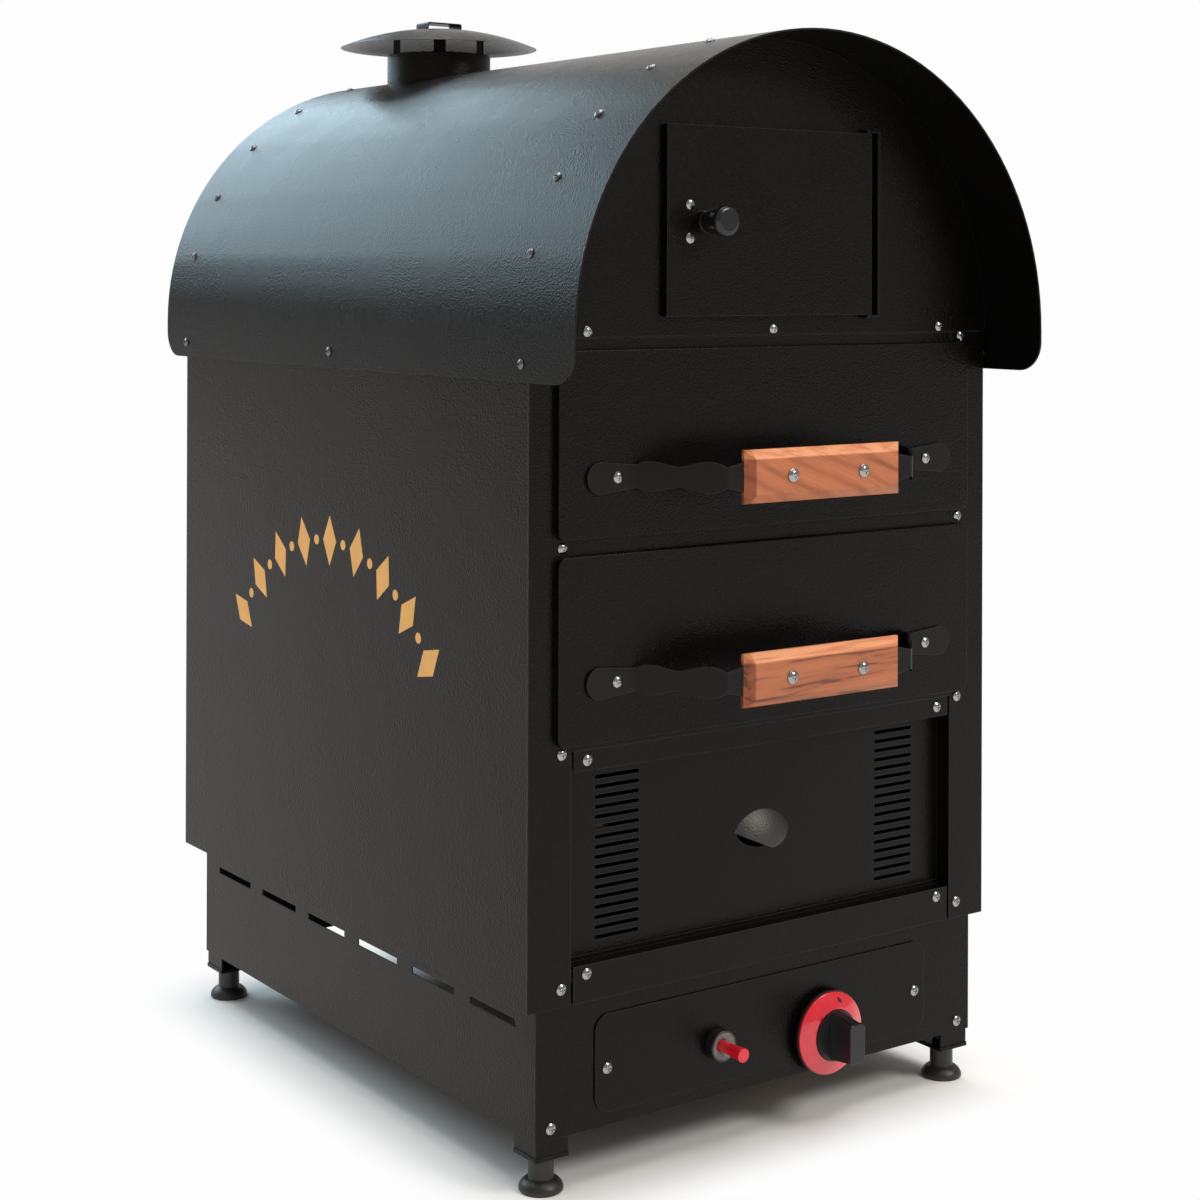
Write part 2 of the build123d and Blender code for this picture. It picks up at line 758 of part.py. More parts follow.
front_screw_planes = strip_screws + top_corner_screws + upper_strip_screws + lower_strip_screws
front_screw_planes += gable_screws + corner_screws + control_screws
publish_group(screws_at(front_screw_planes, front_shank), "front_screws")

# ------------------------------------------------------------------ inside the cabinet
with BuildPart() as oven_liner:
    for side in (-1, 1):
        wall = sorted((side * opening_x, side * (opening_x + thin_sheet)))
        slab(wall, (liner_front, liner_back), (deck_top, body_top))
    slab((-opening_x - thin_sheet, opening_x + thin_sheet), (liner_back - thin_sheet, liner_back),
         (deck_top, body_top))
publish(oven_liner, "oven_liner")

blanket_x = inside_x - insulation_gap
with BuildPart() as insulation:
    slab((-blanket_x, blanket_x), (liner_front, body_depth - 2 * sheet - insulation_gap),
         (deck_top, insulation_top))
    slab((-opening_x - thin_sheet, opening_x + thin_sheet), (liner_front, liner_back),
         (deck_top, insulation_top), Mode.SUBTRACT)
publish(insulation, "insulation")

runner_outer = opening_x
runner_inner = runner_outer - thin_sheet
ledge_top = tray_floor - runner_gap
with BuildPart() as drawer_runners:
    for offset in drawer_offsets.values():
        for side in (-1, 1):
            leg = sorted((side * runner_outer, side * runner_inner))
            ledge = sorted((side * runner_outer, side * (runner_outer - runner_ledge)))
            slab(leg, (liner_front, liner_back - thin_sheet),
                 (ledge_top - thin_sheet + offset, ledge_top - thin_sheet + runner_height + offset))
            slab(ledge, (liner_front, liner_back - thin_sheet),
                 (ledge_top - thin_sheet + offset, ledge_top + offset))
publish(drawer_runners, "drawer_runners")

with BuildPart() as heat_deflector:
    slab((-opening_x, opening_x), (deflector_front, deflector_back),
         (deflector_height, deflector_height + sheet))
    for side in (-1, 1):
        slab(sorted((side * opening_x, side * (opening_x - sheet))), (deflector_front, deflector_back),
             (deflector_height - deflector_flange, deflector_height))
publish(heat_deflector, "heat_deflector")

with BuildPart() as warming_shelf:
    slab((-blanket_x, blanket_x), (shelf_front, shelf_back), (body_top, body_top + sheet))
    with BuildSketch(Plane.XY.offset(body_top)):
        with Locations((0, y_at(body_depth / 2))):
            with GridLocations(shelf_slot_spacing, shelf_slot_pitch, shelf_slot_columns,
                               shelf_slots_per_column):
                SlotOverall(shelf_slot_length, shelf_slot_width)
    extrude(amount=sheet, mode=Mode.SUBTRACT)
publish(warming_shelf, "warming_shelf")

strip_half = opening_x - strip_end_gap
with BuildPart() as bay_strips:
    slab((-strip_half, strip_half), (0, sheet), (bay_top - upper_strip_height, bay_top))
    slab((-strip_half, strip_half), (0, strip_lip), (bay_top - sheet, bay_top))
    slab((-strip_half, strip_half), (strip_lip - sheet, strip_lip), (bay_top - panel_hold, bay_top))
    slab((-strip_half, strip_half), (0, sheet), (body_bottom, body_bottom + lower_strip_height))
    slab((-strip_half, strip_half), (0, panel_back + 2 * sheet),
         (body_bottom + lower_strip_height - sheet, body_bottom + lower_strip_height))
    slab((-strip_half, strip_half), (strip_lip - sheet, strip_lip),
         (body_bottom + lower_strip_height - sheet, body_bottom + lower_strip_height + panel_lip))
    holes_at(upper_strip_screws + lower_strip_screws, hole_radius, 4 * sheet)
publish(bay_strips, "bay_strips")

# The louvre panel: a sheet with two columns of slots and a pressed finger scoop. The scoop is
# the part of a hollow ball that stands out of the sheet above a sloping cut.
half_scoop = scoop_width / 2
scoop_circle = (half_scoop ** 2 + scoop_arch ** 2) / (2 * scoop_arch)
scoop_centre_height = scoop_corner_height + scoop_arch - scoop_circle
scoop_ball = (scoop_circle ** 2 + scoop_reach ** 2) / (2 * scoop_reach)
scoop_centre_depth = panel_recess + scoop_ball - scoop_reach
scoop_slope = (scoop_corner_height - scoop_lip_height) / scoop_reach
panel_x = opening_x - 3 * panel_guide_gap
panel_bottom = body_bottom + lower_strip_height + panel_guide_gap
panel_top = bay_top - panel_hold + panel_overlap


def scoop_cut():
    """The space in front of the panel's back and above the sloping cut of the scoop."""
    with BuildPart() as wedge:
        with BuildSketch(Plane(origin=(-half_scoop * 2, 0, 0), x_dir=(0, 1, 0), z_dir=(1, 0, 0))):
            with BuildLine():
                Polyline((y_at(panel_back), scoop_corner_height + sheet * scoop_slope),
                         (y_at(panel_recess - 2 * scoop_reach),
                          scoop_corner_height - 2 * scoop_reach * scoop_slope),
                         (y_at(panel_recess - 2 * scoop_reach), scoop_corner_height + 2 * scoop_arch),
                         (y_at(panel_back), scoop_corner_height + 2 * scoop_arch), close=True)
            make_face()
        extrude(amount=4 * half_scoop)
    return wedge.part


with BuildPart() as scoop_hollow:
    with Locations((0, y_at(scoop_centre_depth), scoop_centre_height)):
        Sphere(scoop_ball - scoop_sheet)
    add(scoop_cut(), mode=Mode.INTERSECT)
with BuildPart() as scoop_shell:
    with Locations((0, y_at(scoop_centre_depth), scoop_centre_height)):
        Sphere(scoop_ball)
        Sphere(scoop_ball - scoop_sheet, mode=Mode.SUBTRACT)
    add(scoop_cut(), mode=Mode.INTERSECT)

with BuildPart() as louvre_panel:
    slab((-panel_x, panel_x), (panel_recess, panel_back), (panel_bottom, panel_top))
    with BuildSketch(facing_front(0, panel_back, louvre_top - louvre_pitch * (louvre_count - 1) / 2)):
        with GridLocations(2 * louvre_x, louvre_pitch, 2, louvre_count):
            SlotOverall(louvre_length, louvre_height)
    extrude(amount=sheet, mode=Mode.SUBTRACT)
    add(scoop_hollow.part, mode=Mode.SUBTRACT)
    add(scoop_shell.part)
publish(louvre_panel, "louvre_panel")

# ------------------------------------------------------------------ burner and gas train
with BuildPart() as burner_tube:
    with BuildSketch(facing_back(0, burner_front, burner_height)):
        Circle(burner_radius)
    extrude(amount=burner_back - burner_front)
    with BuildSketch(facing_back(0, burner_front, burner_height)):
        Circle(burner_radius - burner_wall)
    extrude(amount=burner_back - burner_front - burner_wall, mode=Mode.SUBTRACT)
    port_spacing = (burner_back - burner_front) / (burner_port_count + 2)
    for side in (-1, 1):
        lean = math.radians(burner_port_lean)
        ports = [Plane(origin=(side * burner_radius * math.sin(lean),
                               y_at(burner_front + port_spacing * (i + 2)),
                               burner_height + burner_radius * math.cos(lean)),
                       z_dir=(side * math.sin(lean), 0, math.cos(lean))) for i in range(burner_port_count)]
        holes_at(ports, burner_port_radius, 4 * burner_wall)
publish(burner_tube, "burner_tube")

saddle_radius = burner_radius + bracket_saddle_gap
with BuildPart() as burner_brackets:
    for depth in bracket_depths:
        slab((-bracket_width / 2, bracket_width / 2), (depth - bracket_thickness, depth),
             (deck_top, burner_height + burner_radius + bracket_rim))
        slab((-bracket_width / 2, bracket_width / 2), (depth - bracket_foot, depth),
             (deck_top, deck_top + bracket_thickness))
    bores = [facing_back(0, depth, burner_height) for depth in bracket_depths]
    holes_at(bores, saddle_radius, 4 * bracket_thickness)
    front_bracket = min(bracket_depths)
    holes_at([facing_back(-probe_x, front_bracket, burner_height)], electrode_radius + probe_hole_gap,
             4 * bracket_thickness)
    holes_at([facing_back(probe_x, front_bracket, burner_height)], probe_radius + probe_hole_gap,
             4 * bracket_thickness)
publish(burner_brackets, "burner_brackets")

with BuildPart() as spark_electrode:
    with BuildSketch(facing_back(-probe_x, probe_front, burner_height)):
        Circle(electrode_radius)
    extrude(amount=probe_back - probe_front)
    with BuildLine() as wire:
        FilletPolyline((-probe_x, y_at(probe_back), burner_height),
                       (-probe_x, y_at(probe_back + spark_run), burner_height),
                       (-burner_radius, y_at(probe_back + spark_run), burner_height + burner_radius),
                       radius=spark_wire_bend)
    with BuildSketch(Plane(origin=wire.line @ 0, z_dir=wire.line % 0)):
        Circle(spark_wire_radius)
    sweep()
publish(spark_electrode, "spark_electrode")

igniter_lead = tube_along(lead_route, lead_radius, lead_bend)
publish(igniter_lead, "igniter_lead")

thermocouple_lead = tube_along(probe_route, lead_radius - probe_hole_gap, lead_bend)
with BuildPart() as thermocouple_tip:
    with BuildSketch(facing_back(probe_x, probe_front, burner_height)):
        Circle(probe_radius)
    extrude(amount=probe_back - probe_front)
publish_group([thermocouple_lead.part.solid(), thermocouple_tip.part.solid()], "thermocouple")

valve_half = valve_width / 2
with BuildPart() as gas_valve:
    slab((knob_x - valve_half, knob_x + valve_half), (valve_front, valve_back),
         (knob_height - valve_height / 2, valve_top))
    fillet(gas_valve.edges().filter_by(Axis.Y), valve_corner)
    with BuildSketch(facing_front(knob_x, valve_front, knob_height)):
        Circle(valve_neck_radius)
    extrude(amount=valve_front - base_front - sheet)
    with BuildSketch(facing_back(knob_x, base_front, knob_height)):
        Circle(spindle_radius + spindle_clearance)
    extrude(amount=valve_chamber_back - base_front, mode=Mode.SUBTRACT)
    with BuildSketch(facing_back(knob_x, valve_chamber_front, knob_height)):
        Circle(collar_radius + spindle_clearance)
    extrude(amount=valve_chamber_back - valve_chamber_front, mode=Mode.SUBTRACT)
publish(gas_valve, "gas_valve")

with BuildPart() as plunger_collar:
    with BuildSketch(facing_back(knob_x, collar_front, knob_height)):
        Circle(collar_radius)
        Circle(spindle_radius + spindle_clearance, mode=Mode.SUBTRACT)
    extrude(amount=collar_length)
publish(plunger_collar, "plunger_collar")

feed_pipe = tube_along(feed_route, feed_pipe_radius, feed_bend)
with BuildPart() as injector:
    with BuildSketch(facing_back(0, injector_front, burner_height)):
        RegularPolygon(injector_radius, 6)
    extrude(amount=injector_back - injector_front)
    with BuildSketch(facing_back(0, injector_back, burner_height)):
        Circle(nozzle_radius)
    extrude(amount=nozzle_length)
publish_group([feed_pipe.part.solid(), injector.part.solid()], "burner_feed")

supply_pipe = tube_along(supply_route, supply_pipe_radius, supply_bend)
publish(supply_pipe, "supply_pipe")

with BuildPart() as gas_inlet:
    with BuildSketch(facing_front(inlet_x, base_back - sheet, knob_height)):
        RegularPolygon(inlet_hex_radius, 6)
    extrude(amount=inlet_hex_length)
    with BuildSketch(facing_back(inlet_x, base_back - sheet, knob_height)):
        Circle(inlet_neck_radius)
    extrude(amount=sheet + inlet_neck_gap)
    with BuildSketch(facing_back(inlet_x, base_back + inlet_neck_gap, knob_height)):
        Circle(inlet_nipple_radius)
    extrude(amount=inlet_nipple_length - inlet_neck_gap)
    chamfer(gas_inlet.faces().sort_by(Axis.Y)[-1].edges(), sheet)
    with BuildSketch(facing_back(inlet_x, base_back, knob_height)):
        Circle(supply_pipe_radius)
    extrude(amount=inlet_nipple_length, mode=Mode.SUBTRACT)
publish(gas_inlet, "gas_inlet")

# ------------------------------------------------------------------ igniter
igniter_front = control_face - igniter_flange_reach
button_front = control_face - button_reach
with BuildPart() as igniter_body:
    with BuildSketch(facing_front(igniter_x, control_face, igniter_height)):
        Circle(igniter_flange_radius)
    extrude(amount=igniter_flange_reach)
    with BuildSketch(facing_back(igniter_x, control_face, igniter_height)):
        Circle(igniter_barrel_radius)
    extrude(amount=igniter_back - control_face)
    with BuildSketch(facing_back(igniter_x, igniter_front, igniter_height)):
        Circle(igniter_dish_radius)
    with BuildSketch(facing_back(igniter_x, igniter_front + igniter_dish_depth, igniter_height)):
        Circle(button_radius + button_clearance)
    loft(mode=Mode.SUBTRACT)
    with BuildSketch(facing_back(igniter_x, igniter_front, igniter_height)):
        Circle(button_radius + button_clearance)
    extrude(amount=button_back + 2 * button_travel - igniter_front, mode=Mode.SUBTRACT)
publish(igniter_body, "igniter_body")

with BuildPart() as igniter_button:
    with BuildSketch(facing_back(igniter_x, button_front, igniter_height)):
        Circle(button_radius)
    extrude(amount=button_back - button_front)
    fillet(igniter_button.faces().sort_by(Axis.Y)[0].edges(), button_edge)
publish(igniter_button, "igniter_button")

# ------------------------------------------------------------------ gas knob
knob_back = control_face - knob_push - knob_lift
plate_front = knob_back - knob_plate
cone_front = plate_front - skirt_edge - skirt_cone
boss_front = cone_front - knob_boss_rise
bar_front = boss_front - knob_bar_reach
with BuildPart() as knob_grip:
    with BuildSketch(facing_front(knob_x, boss_front, knob_height)):
        RectangleRounded(knob_bar_width, knob_bar_root, knob_bar_corner)
    with BuildSketch(facing_front(knob_x, bar_front, knob_height)):
        RectangleRounded(knob_bar_width, knob_bar_length, knob_bar_corner)
    loft()
    fillet(knob_grip.faces().sort_by(Axis.Y)[0].edges(), knob_bar_edge)
    for side in (-1, 1):
        with Locations(facing_front(knob_x + side * (knob_bar_width / 2 + knob_waist_radius - knob_waist),
                                    (boss_front + bar_front) / 2, knob_height)):
            Cylinder(knob_waist_radius, knob_bar_root, rotation=(90, 0, 0), mode=Mode.SUBTRACT)
    with BuildSketch(facing_front(knob_x, knob_back, knob_height)):
        Circle(knob_boss_radius)
    extrude(amount=knob_back - boss_front)
    with BuildSketch(facing_front(knob_x, knob_back, knob_height)):
        Circle(knob_plate_radius)
    extrude(amount=knob_plate)
    with BuildSketch(facing_front(knob_x, knob_back, knob_height)):
        Circle(spindle_radius + spindle_clearance)
    extrude(amount=knob_bore_depth, mode=Mode.SUBTRACT)
publish(knob_grip, "knob_grip")

with BuildPart() as knob_skirt:
    with BuildSketch(facing_front(knob_x, plate_front, knob_height)):
        Circle(skirt_radius)
    extrude(amount=skirt_edge)
    with BuildSketch(facing_front(knob_x, plate_front - skirt_edge, knob_height)):
        Circle(skirt_radius)
    with BuildSketch(facing_front(knob_x, cone_front, knob_height)):
        Circle(knob_boss_radius + skirt_rim)
    loft()
    with BuildSketch(facing_front(knob_x, plate_front, knob_height)):
        Circle(knob_boss_radius + knob_boss_gap)
    extrude(amount=skirt_edge + skirt_cone, mode=Mode.SUBTRACT)
publish(knob_skirt, "knob_skirt")

with BuildPart() as valve_spindle:
    with BuildSketch(facing_back(knob_x, knob_back - knob_bore_depth, knob_height)):
        Circle(spindle_radius)
    extrude(amount=collar_front + collar_length + spindle_tail - knob_back + knob_bore_depth)
publish(valve_spindle, "valve_spindle")

# ------------------------------------------------------------------ drawers
strap_centre = drawer_front_depth + strap_thickness / 2
strap_tip_x = strap_shoulder_x + strap_tab_height / 2
leg_run = strap_neck_x - strap_bend_x
grip_x = grip_length / 2
groove_half = strap_bar_height / 2 + grip_groove_gap
tray_walls = (-drawer_front_depth + sheet, tray_depth)


def strap_outline(height):
    """The strap seen from the front: round tabs, waisted legs and a straight bar."""
    wide, narrow = strap_bar_height / 2, strap_narrow_height / 2
    with BuildSketch(facing_front(0, 0, height)) as outline:
        with BuildLine():
            Line((0, wide), (grip_x, wide))
            Line((grip_x, wide), (strap_bend_x, narrow))
            Spline((strap_bend_x, narrow), (strap_bend_x + strap_first_wave * leg_run, wide),
                   (strap_bend_x + strap_second_wave * leg_run, narrow),
                   (strap_bend_x + strap_third_wave * leg_run, wide), (strap_neck_x, strap_neck_height / 2))
            Line((strap_neck_x, strap_neck_height / 2), (strap_shoulder_x, strap_tab_height / 2))
            RadiusArc((strap_shoulder_x, strap_tab_height / 2), (strap_tip_x, 0), strap_tab_height / 2)
            mirror(about=Plane.XZ)
            mirror(about=Plane.YZ)
        make_face()
    return outline.sketch


for drawer, offset in drawer_offsets.items():
    front_bottom = lower_front_bottom + offset
    front_middle = front_bottom + drawer_front_height / 2
    handle_z = front_bottom + handle_height
    floor_z = tray_floor + offset
    tab_screws = [facing_front(s * strap_screw_x, -drawer_front_depth - strap_thickness, handle_z)
                  for s in (-1, 1)]
    grip_screws = [facing_front(s * grip_screw_x, grip_front, handle_z) for s in (-1, 1)]

    with BuildPart() as drawer_front:
        with BuildSketch(facing_front(0, -drawer_front_gap, front_middle)):
            RectangleRounded(drawer_front_width, drawer_front_height, drawer_front_corner)
        extrude(amount=drawer_front_depth - drawer_front_gap)
        fillet(drawer_front.faces().sort_by(Axis.Y)[0].edges(), drawer_front_edge)
        with BuildSketch(facing_front(0, -drawer_front_gap, front_middle)):
            RectangleRounded(drawer_front_width - 2 * sheet, drawer_front_height - 2 * sheet,
                             drawer_front_corner - sheet)
        extrude(amount=drawer_front_depth - drawer_front_gap - sheet, mode=Mode.SUBTRACT)
        holes_at(tab_screws, hole_radius, 8 * sheet)
    publish(drawer_front, drawer + "_drawer_front")

    whole_width = (-tray_half_width, tray_half_width)
    front_depths = (tray_walls[0], tray_walls[0] + thin_sheet)
    side_depths = (tray_walls[0] + thin_sheet, tray_walls[1] - thin_sheet)
    back_depths = (tray_walls[1] - thin_sheet, tray_walls[1])
    wall_heights = (floor_z + thin_sheet, floor_z + tray_height)
    tray_sheets = []
    for limits in ((whole_width, tray_walls, (floor_z, floor_z + thin_sheet)),
                   (whole_width, front_depths, wall_heights),
                   (whole_width, back_depths, wall_heights),
                   ((-tray_half_width, -tray_half_width + thin_sheet), side_depths, wall_heights),
                   ((tray_half_width - thin_sheet, tray_half_width), side_depths, wall_heights)):
        with BuildPart() as tray_sheet:
            slab(*limits)
            holes_at(tab_screws, hole_radius, 12 * sheet)
        tray_sheets.append(tray_sheet.part)
    publish_group(tray_sheets, drawer + "_drawer_tray")

    with BuildPart() as handle_strap:
        with BuildLine() as bend_line:
            FilletPolyline((-strap_tip_x - strap_thickness, y_at(-strap_centre), handle_z),
                           (-strap_neck_x, y_at(-strap_centre), handle_z),
                           (-strap_bend_x, y_at(strap_front + strap_thickness / 2), handle_z),
                           (strap_bend_x, y_at(strap_front + strap_thickness / 2), handle_z),
                           (strap_neck_x, y_at(-strap_centre), handle_z),
                           (strap_tip_x + strap_thickness, y_at(-strap_centre), handle_z),
                           radius=strap_bend_radius)
        with BuildSketch(Plane(origin=bend_line.line @ 0, x_dir=(0, 0, 1), z_dir=bend_line.line % 0)):
            Rectangle(2 * strap_tab_height, strap_thickness)
        sweep()
        extrude(strap_outline(handle_z), amount=2 * strap_standoff, mode=Mode.INTERSECT)
        holes_at(tab_screws + grip_screws, hole_radius, 4 * grip_thickness)
    publish(handle_strap, drawer + "_handle_strap")

    with BuildPart() as wood_grip:
        slab((-grip_x, grip_x), (grip_front, grip_front + grip_thickness),
             (handle_z - grip_height / 2, handle_z + grip_height / 2))
        chamfer(wood_grip.faces().sort_by(Axis.Y)[0].edges(), grip_chamfer)
        slab((-grip_x, grip_x), (strap_front, grip_front + grip_thickness),
             (handle_z - groove_half, handle_z + groove_half), Mode.SUBTRACT)
        holes_at(grip_screws, hole_radius, 4 * grip_thickness)
    publish(wood_grip, drawer + "_wood_grip")

    publish_group(screws_at(tab_screws, tab_shank) + screws_at(grip_screws, grip_shank, grip_head_height),
                  drawer + "_drawer_screws")

# ------------------------------------------------------------------ warming door
pivot_y = y_at(pivot_depth)
lug_right = pivot_x + pivot_lug_reach
lug_left = pivot_x - 2 * pivot_lug_reach
knob_face = -door_depth
with BuildPart() as door_panel:
    slab((door_left, door_right), (-door_depth, -door_depth + sheet), (door_bottom, door_top))
    slab((door_left, door_left + sheet), (-door_depth, -door_gap), (door_bottom, door_top))
    for z in (door_bottom, door_top - sheet):
        slab((door_left, lug_right), (-door_depth + sheet, -door_gap), (z, z + sheet))
    for z in (door_bottom, door_top - pivot_lug_height):
        slab((lug_left, lug_right), (-door_depth + sheet, -door_gap), (z, z + pivot_lug_height))
    for z in (door_bottom + pivot_lug_height / 2, door_top - pivot_lug_height / 2):
        with Locations((pivot_x, pivot_y, z)):
            Cylinder(pivot_radius + pivot_clearance, pivot_lug_height, mode=Mode.SUBTRACT)
    holes_at(door_screws_at, hole_radius, 4 * sheet)
    holes_at([facing_front(door_knob_x, -door_depth, door_knob_height)],
             door_stud_radius + hole_clearance, 4 * sheet)
publish(door_panel, "door_panel")

strip_bottom = door_bottom - pivot_ear_gap - pivot_ear
strip_top = door_top + pivot_ear_gap + pivot_ear
hinge_strip_right = hinge_strip_x + hinge_strip_width
with BuildPart() as hinge_bracket:
    slab((hinge_strip_x, hinge_strip_right), (-hinge_strip_reach, 0), (strip_bottom, strip_top))
    for z in (strip_bottom, strip_top - pivot_ear):
        slab((pivot_ear_left, hinge_strip_right), (-hinge_strip_reach, 0), (z, z + pivot_ear))
    with Locations((pivot_x, pivot_y, (door_bottom + door_top) / 2)):
        Cylinder(pivot_radius + pivot_clearance, 2 * (door_top - door_bottom), mode=Mode.SUBTRACT)


def hinge_pin(ear, direction):
    """A headed pin that stands on the outside of an ear and points into the door's lug."""
    reach = pivot_ear + pivot_lug_height
    with BuildPart() as pin:
        with BuildSketch(Plane(origin=(pivot_x, pivot_y, ear), z_dir=(0, 0, direction))):
            Circle(pivot_head_radius)
        extrude(amount=pivot_head)
        with BuildSketch(Plane(origin=(pivot_x, pivot_y, ear), z_dir=(0, 0, -direction))):
            Circle(pivot_radius)
        extrude(amount=reach)
    return pin.part.solid()


hinge_pins = [hinge_pin(strip_top, 1), hinge_pin(strip_bottom, -1)]
publish_group([hinge_bracket.part.solid()] + hinge_pins, "door_hinge")

with BuildPart() as door_knob:
    with BuildSketch(Plane(origin=(door_knob_x, y_at(knob_face), door_knob_height), x_dir=(1, 0, 0),
                           z_dir=(0, 0, 1))):
        with BuildLine():
            Polyline((0, door_stud_length), (door_stud_radius, door_stud_length), (door_stud_radius, 0),
                     (door_knob_root_radius, 0), (door_knob_root_radius, -door_knob_collar),
                     (door_knob_root_radius - door_knob_groove, -door_knob_collar),
                     (door_knob_root_radius - door_knob_groove, -door_knob_collar - door_knob_groove),
                     (door_knob_root_radius, -door_knob_collar - door_knob_groove),
                     (door_knob_radius, -door_knob_reach + door_knob_dome))
            TangentArc((door_knob_radius, -door_knob_reach + door_knob_dome),
                       (door_knob_radius - door_knob_dome, -door_knob_reach), tangent=(0, -1))
            Line((door_knob_radius - door_knob_dome, -door_knob_reach), (0, -door_knob_reach))
            Line((0, -door_knob_reach), (0, door_stud_length))
        make_face()
    revolve(axis=Axis((door_knob_x, y_at(knob_face), door_knob_height), (0, 1, 0)))
publish(door_knob, "door_knob")

publish_group(screws_at(door_screws_at, door_shank), "door_screws")

strike_right = catch_left + door_overlap + strike_inset + strike_width
strike_left = strike_right - strike_width
with BuildPart() as catch_strike:
    slab((strike_left, strike_right), (-door_depth + sheet, -door_depth + sheet + thin_sheet),
         (door_knob_height - strike_height / 2, door_knob_height + strike_height / 2))
    slab((strike_left, strike_left + strike_pad), (-door_depth + sheet, sheet - catch_gap),
         (door_knob_height - catch_height / 2 + sheet, door_knob_height + catch_height / 2 - sheet))
    holes_at(door_screws_at, hole_radius, 8 * sheet)
publish(catch_strike, "catch_strike")

with BuildPart() as door_catch:
    slab((catch_left, catch_right), (sheet, sheet + catch_depth),
         (door_knob_height - catch_height / 2, door_knob_height + catch_height / 2))
    chamfer(door_catch.faces().sort_by(Axis.Y)[-1].edges(), sheet)
publish(door_catch, "door_catch")

# ------------------------------------------------------------------ chimney and rain cap
with BuildPart() as flue_collar:
    with BuildSketch(facing_front(0, flue_depth - 2 * flue_flange_radius, roof_axis_height)):
        Circle(gable_radius)
        Circle(gable_radius - sheet, mode=Mode.SUBTRACT)
    extrude(amount=-4 * flue_flange_radius)
    with Locations((0, y_at(flue_depth), roof_axis_height)):
        Cylinder(flue_flange_radius, 2 * roof_radius, align=(Align.CENTER, Align.CENTER, Align.MIN),
                 mode=Mode.INTERSECT)
    with Locations((0, y_at(flue_depth), flue_bottom)):
        Cylinder(flue_radius, flue_top - flue_bottom, align=(Align.CENTER, Align.CENTER, Align.MIN))
        Cylinder(flue_radius - flue_wall, roof_radius, align=(Align.CENTER, Align.CENTER, Align.MIN),
                 mode=Mode.SUBTRACT)
publish(flue_collar, "flue_collar")

cap_sphere = (cap_radius ** 2 + cap_rise ** 2) / (2 * cap_rise)
cap_top = cap_rim_height + cap_rise
cap_axis = Axis((0, y_at(flue_depth), 0), (0, 0, 1))


def cap_surface(radius, sphere):
    """The height of a ball of the given radius round the cap's centre, at a distance from the axis."""
    return cap_top - cap_sphere + math.sqrt(sphere ** 2 - radius ** 2)


inner_sphere = cap_sphere - cap_sheet
rim_inner = math.sqrt(inner_sphere ** 2 - (cap_sphere - cap_rise) ** 2)
with BuildPart() as cap_dome:
    with BuildSketch(facing_front(0, flue_depth, 0)):
        with BuildLine():
            ThreePointArc((0, cap_top), (cap_radius / 2, cap_surface(cap_radius / 2, cap_sphere)),
                          (cap_radius, cap_rim_height))
            Line((cap_radius, cap_rim_height), (rim_inner, cap_rim_height))
            ThreePointArc((rim_inner, cap_rim_height),
                          (cap_radius / 2, cap_surface(cap_radius / 2, inner_sphere)),
                          (0, cap_top - cap_sheet))
            Line((0, cap_top - cap_sheet), (0, cap_top))
        make_face()
    revolve(axis=cap_axis)
publish(cap_dome, "cap_dome")

tab_outer = math.sqrt((flue_radius - flue_wall - cap_tab_gap) ** 2 - (cap_tab_width / 2) ** 2)
tab_inner = tab_outer - cap_tab_thickness
tab_top = cap_surface(math.hypot(tab_outer, cap_tab_width / 2), inner_sphere) - cap_tab_gap / 2
tab_seat = flue_top + cap_tab_gap
with BuildPart() as cap_legs:
    with Locations((0, y_at(flue_depth), 0)):
        with PolarLocations(0, 3):
            with Locations(((tab_outer + tab_inner) / 2, 0, (tab_top + flue_top - cap_tab_drop) / 2)):
                Box(cap_tab_thickness, cap_tab_width, tab_top - flue_top + cap_tab_drop)
            with Locations((tab_inner + cap_tab_shoulder / 2, 0, tab_seat + cap_tab_thickness / 2)):
                Box(cap_tab_shoulder, cap_tab_width, cap_tab_thickness)
publish(cap_legs, "cap_legs")

handle_foot = cap_surface(cap_handle_length / 2 - cap_handle_thickness, cap_sphere)
with BuildPart() as cap_handle:
    slab((-cap_handle_length / 2, cap_handle_length / 2),
         (flue_depth - cap_handle_width / 2, flue_depth + cap_handle_width / 2),
         (handle_foot, cap_top + cap_handle_height))
    fillet(cap_handle.faces().sort_by(Axis.Z)[-1].edges().filter_by(Axis.Y), 2 * cap_handle_thickness)
    slab((-cap_handle_length / 2 + cap_handle_thickness, cap_handle_length / 2 - cap_handle_thickness),
         (flue_depth - cap_handle_width / 2, flue_depth + cap_handle_width / 2),
         (handle_foot, cap_top + cap_handle_height - cap_handle_thickness), Mode.SUBTRACT)
publish(cap_handle, "cap_handle")
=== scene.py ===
"""Dresses the packed potato oven: rounded sheet edges, finishes, the side ornament and the studio."""
import json
import math

import bmesh
import bpy
from bpy.props import FloatProperty, FloatVectorProperty, IntProperty, PointerProperty
from mathutils import Matrix, Vector


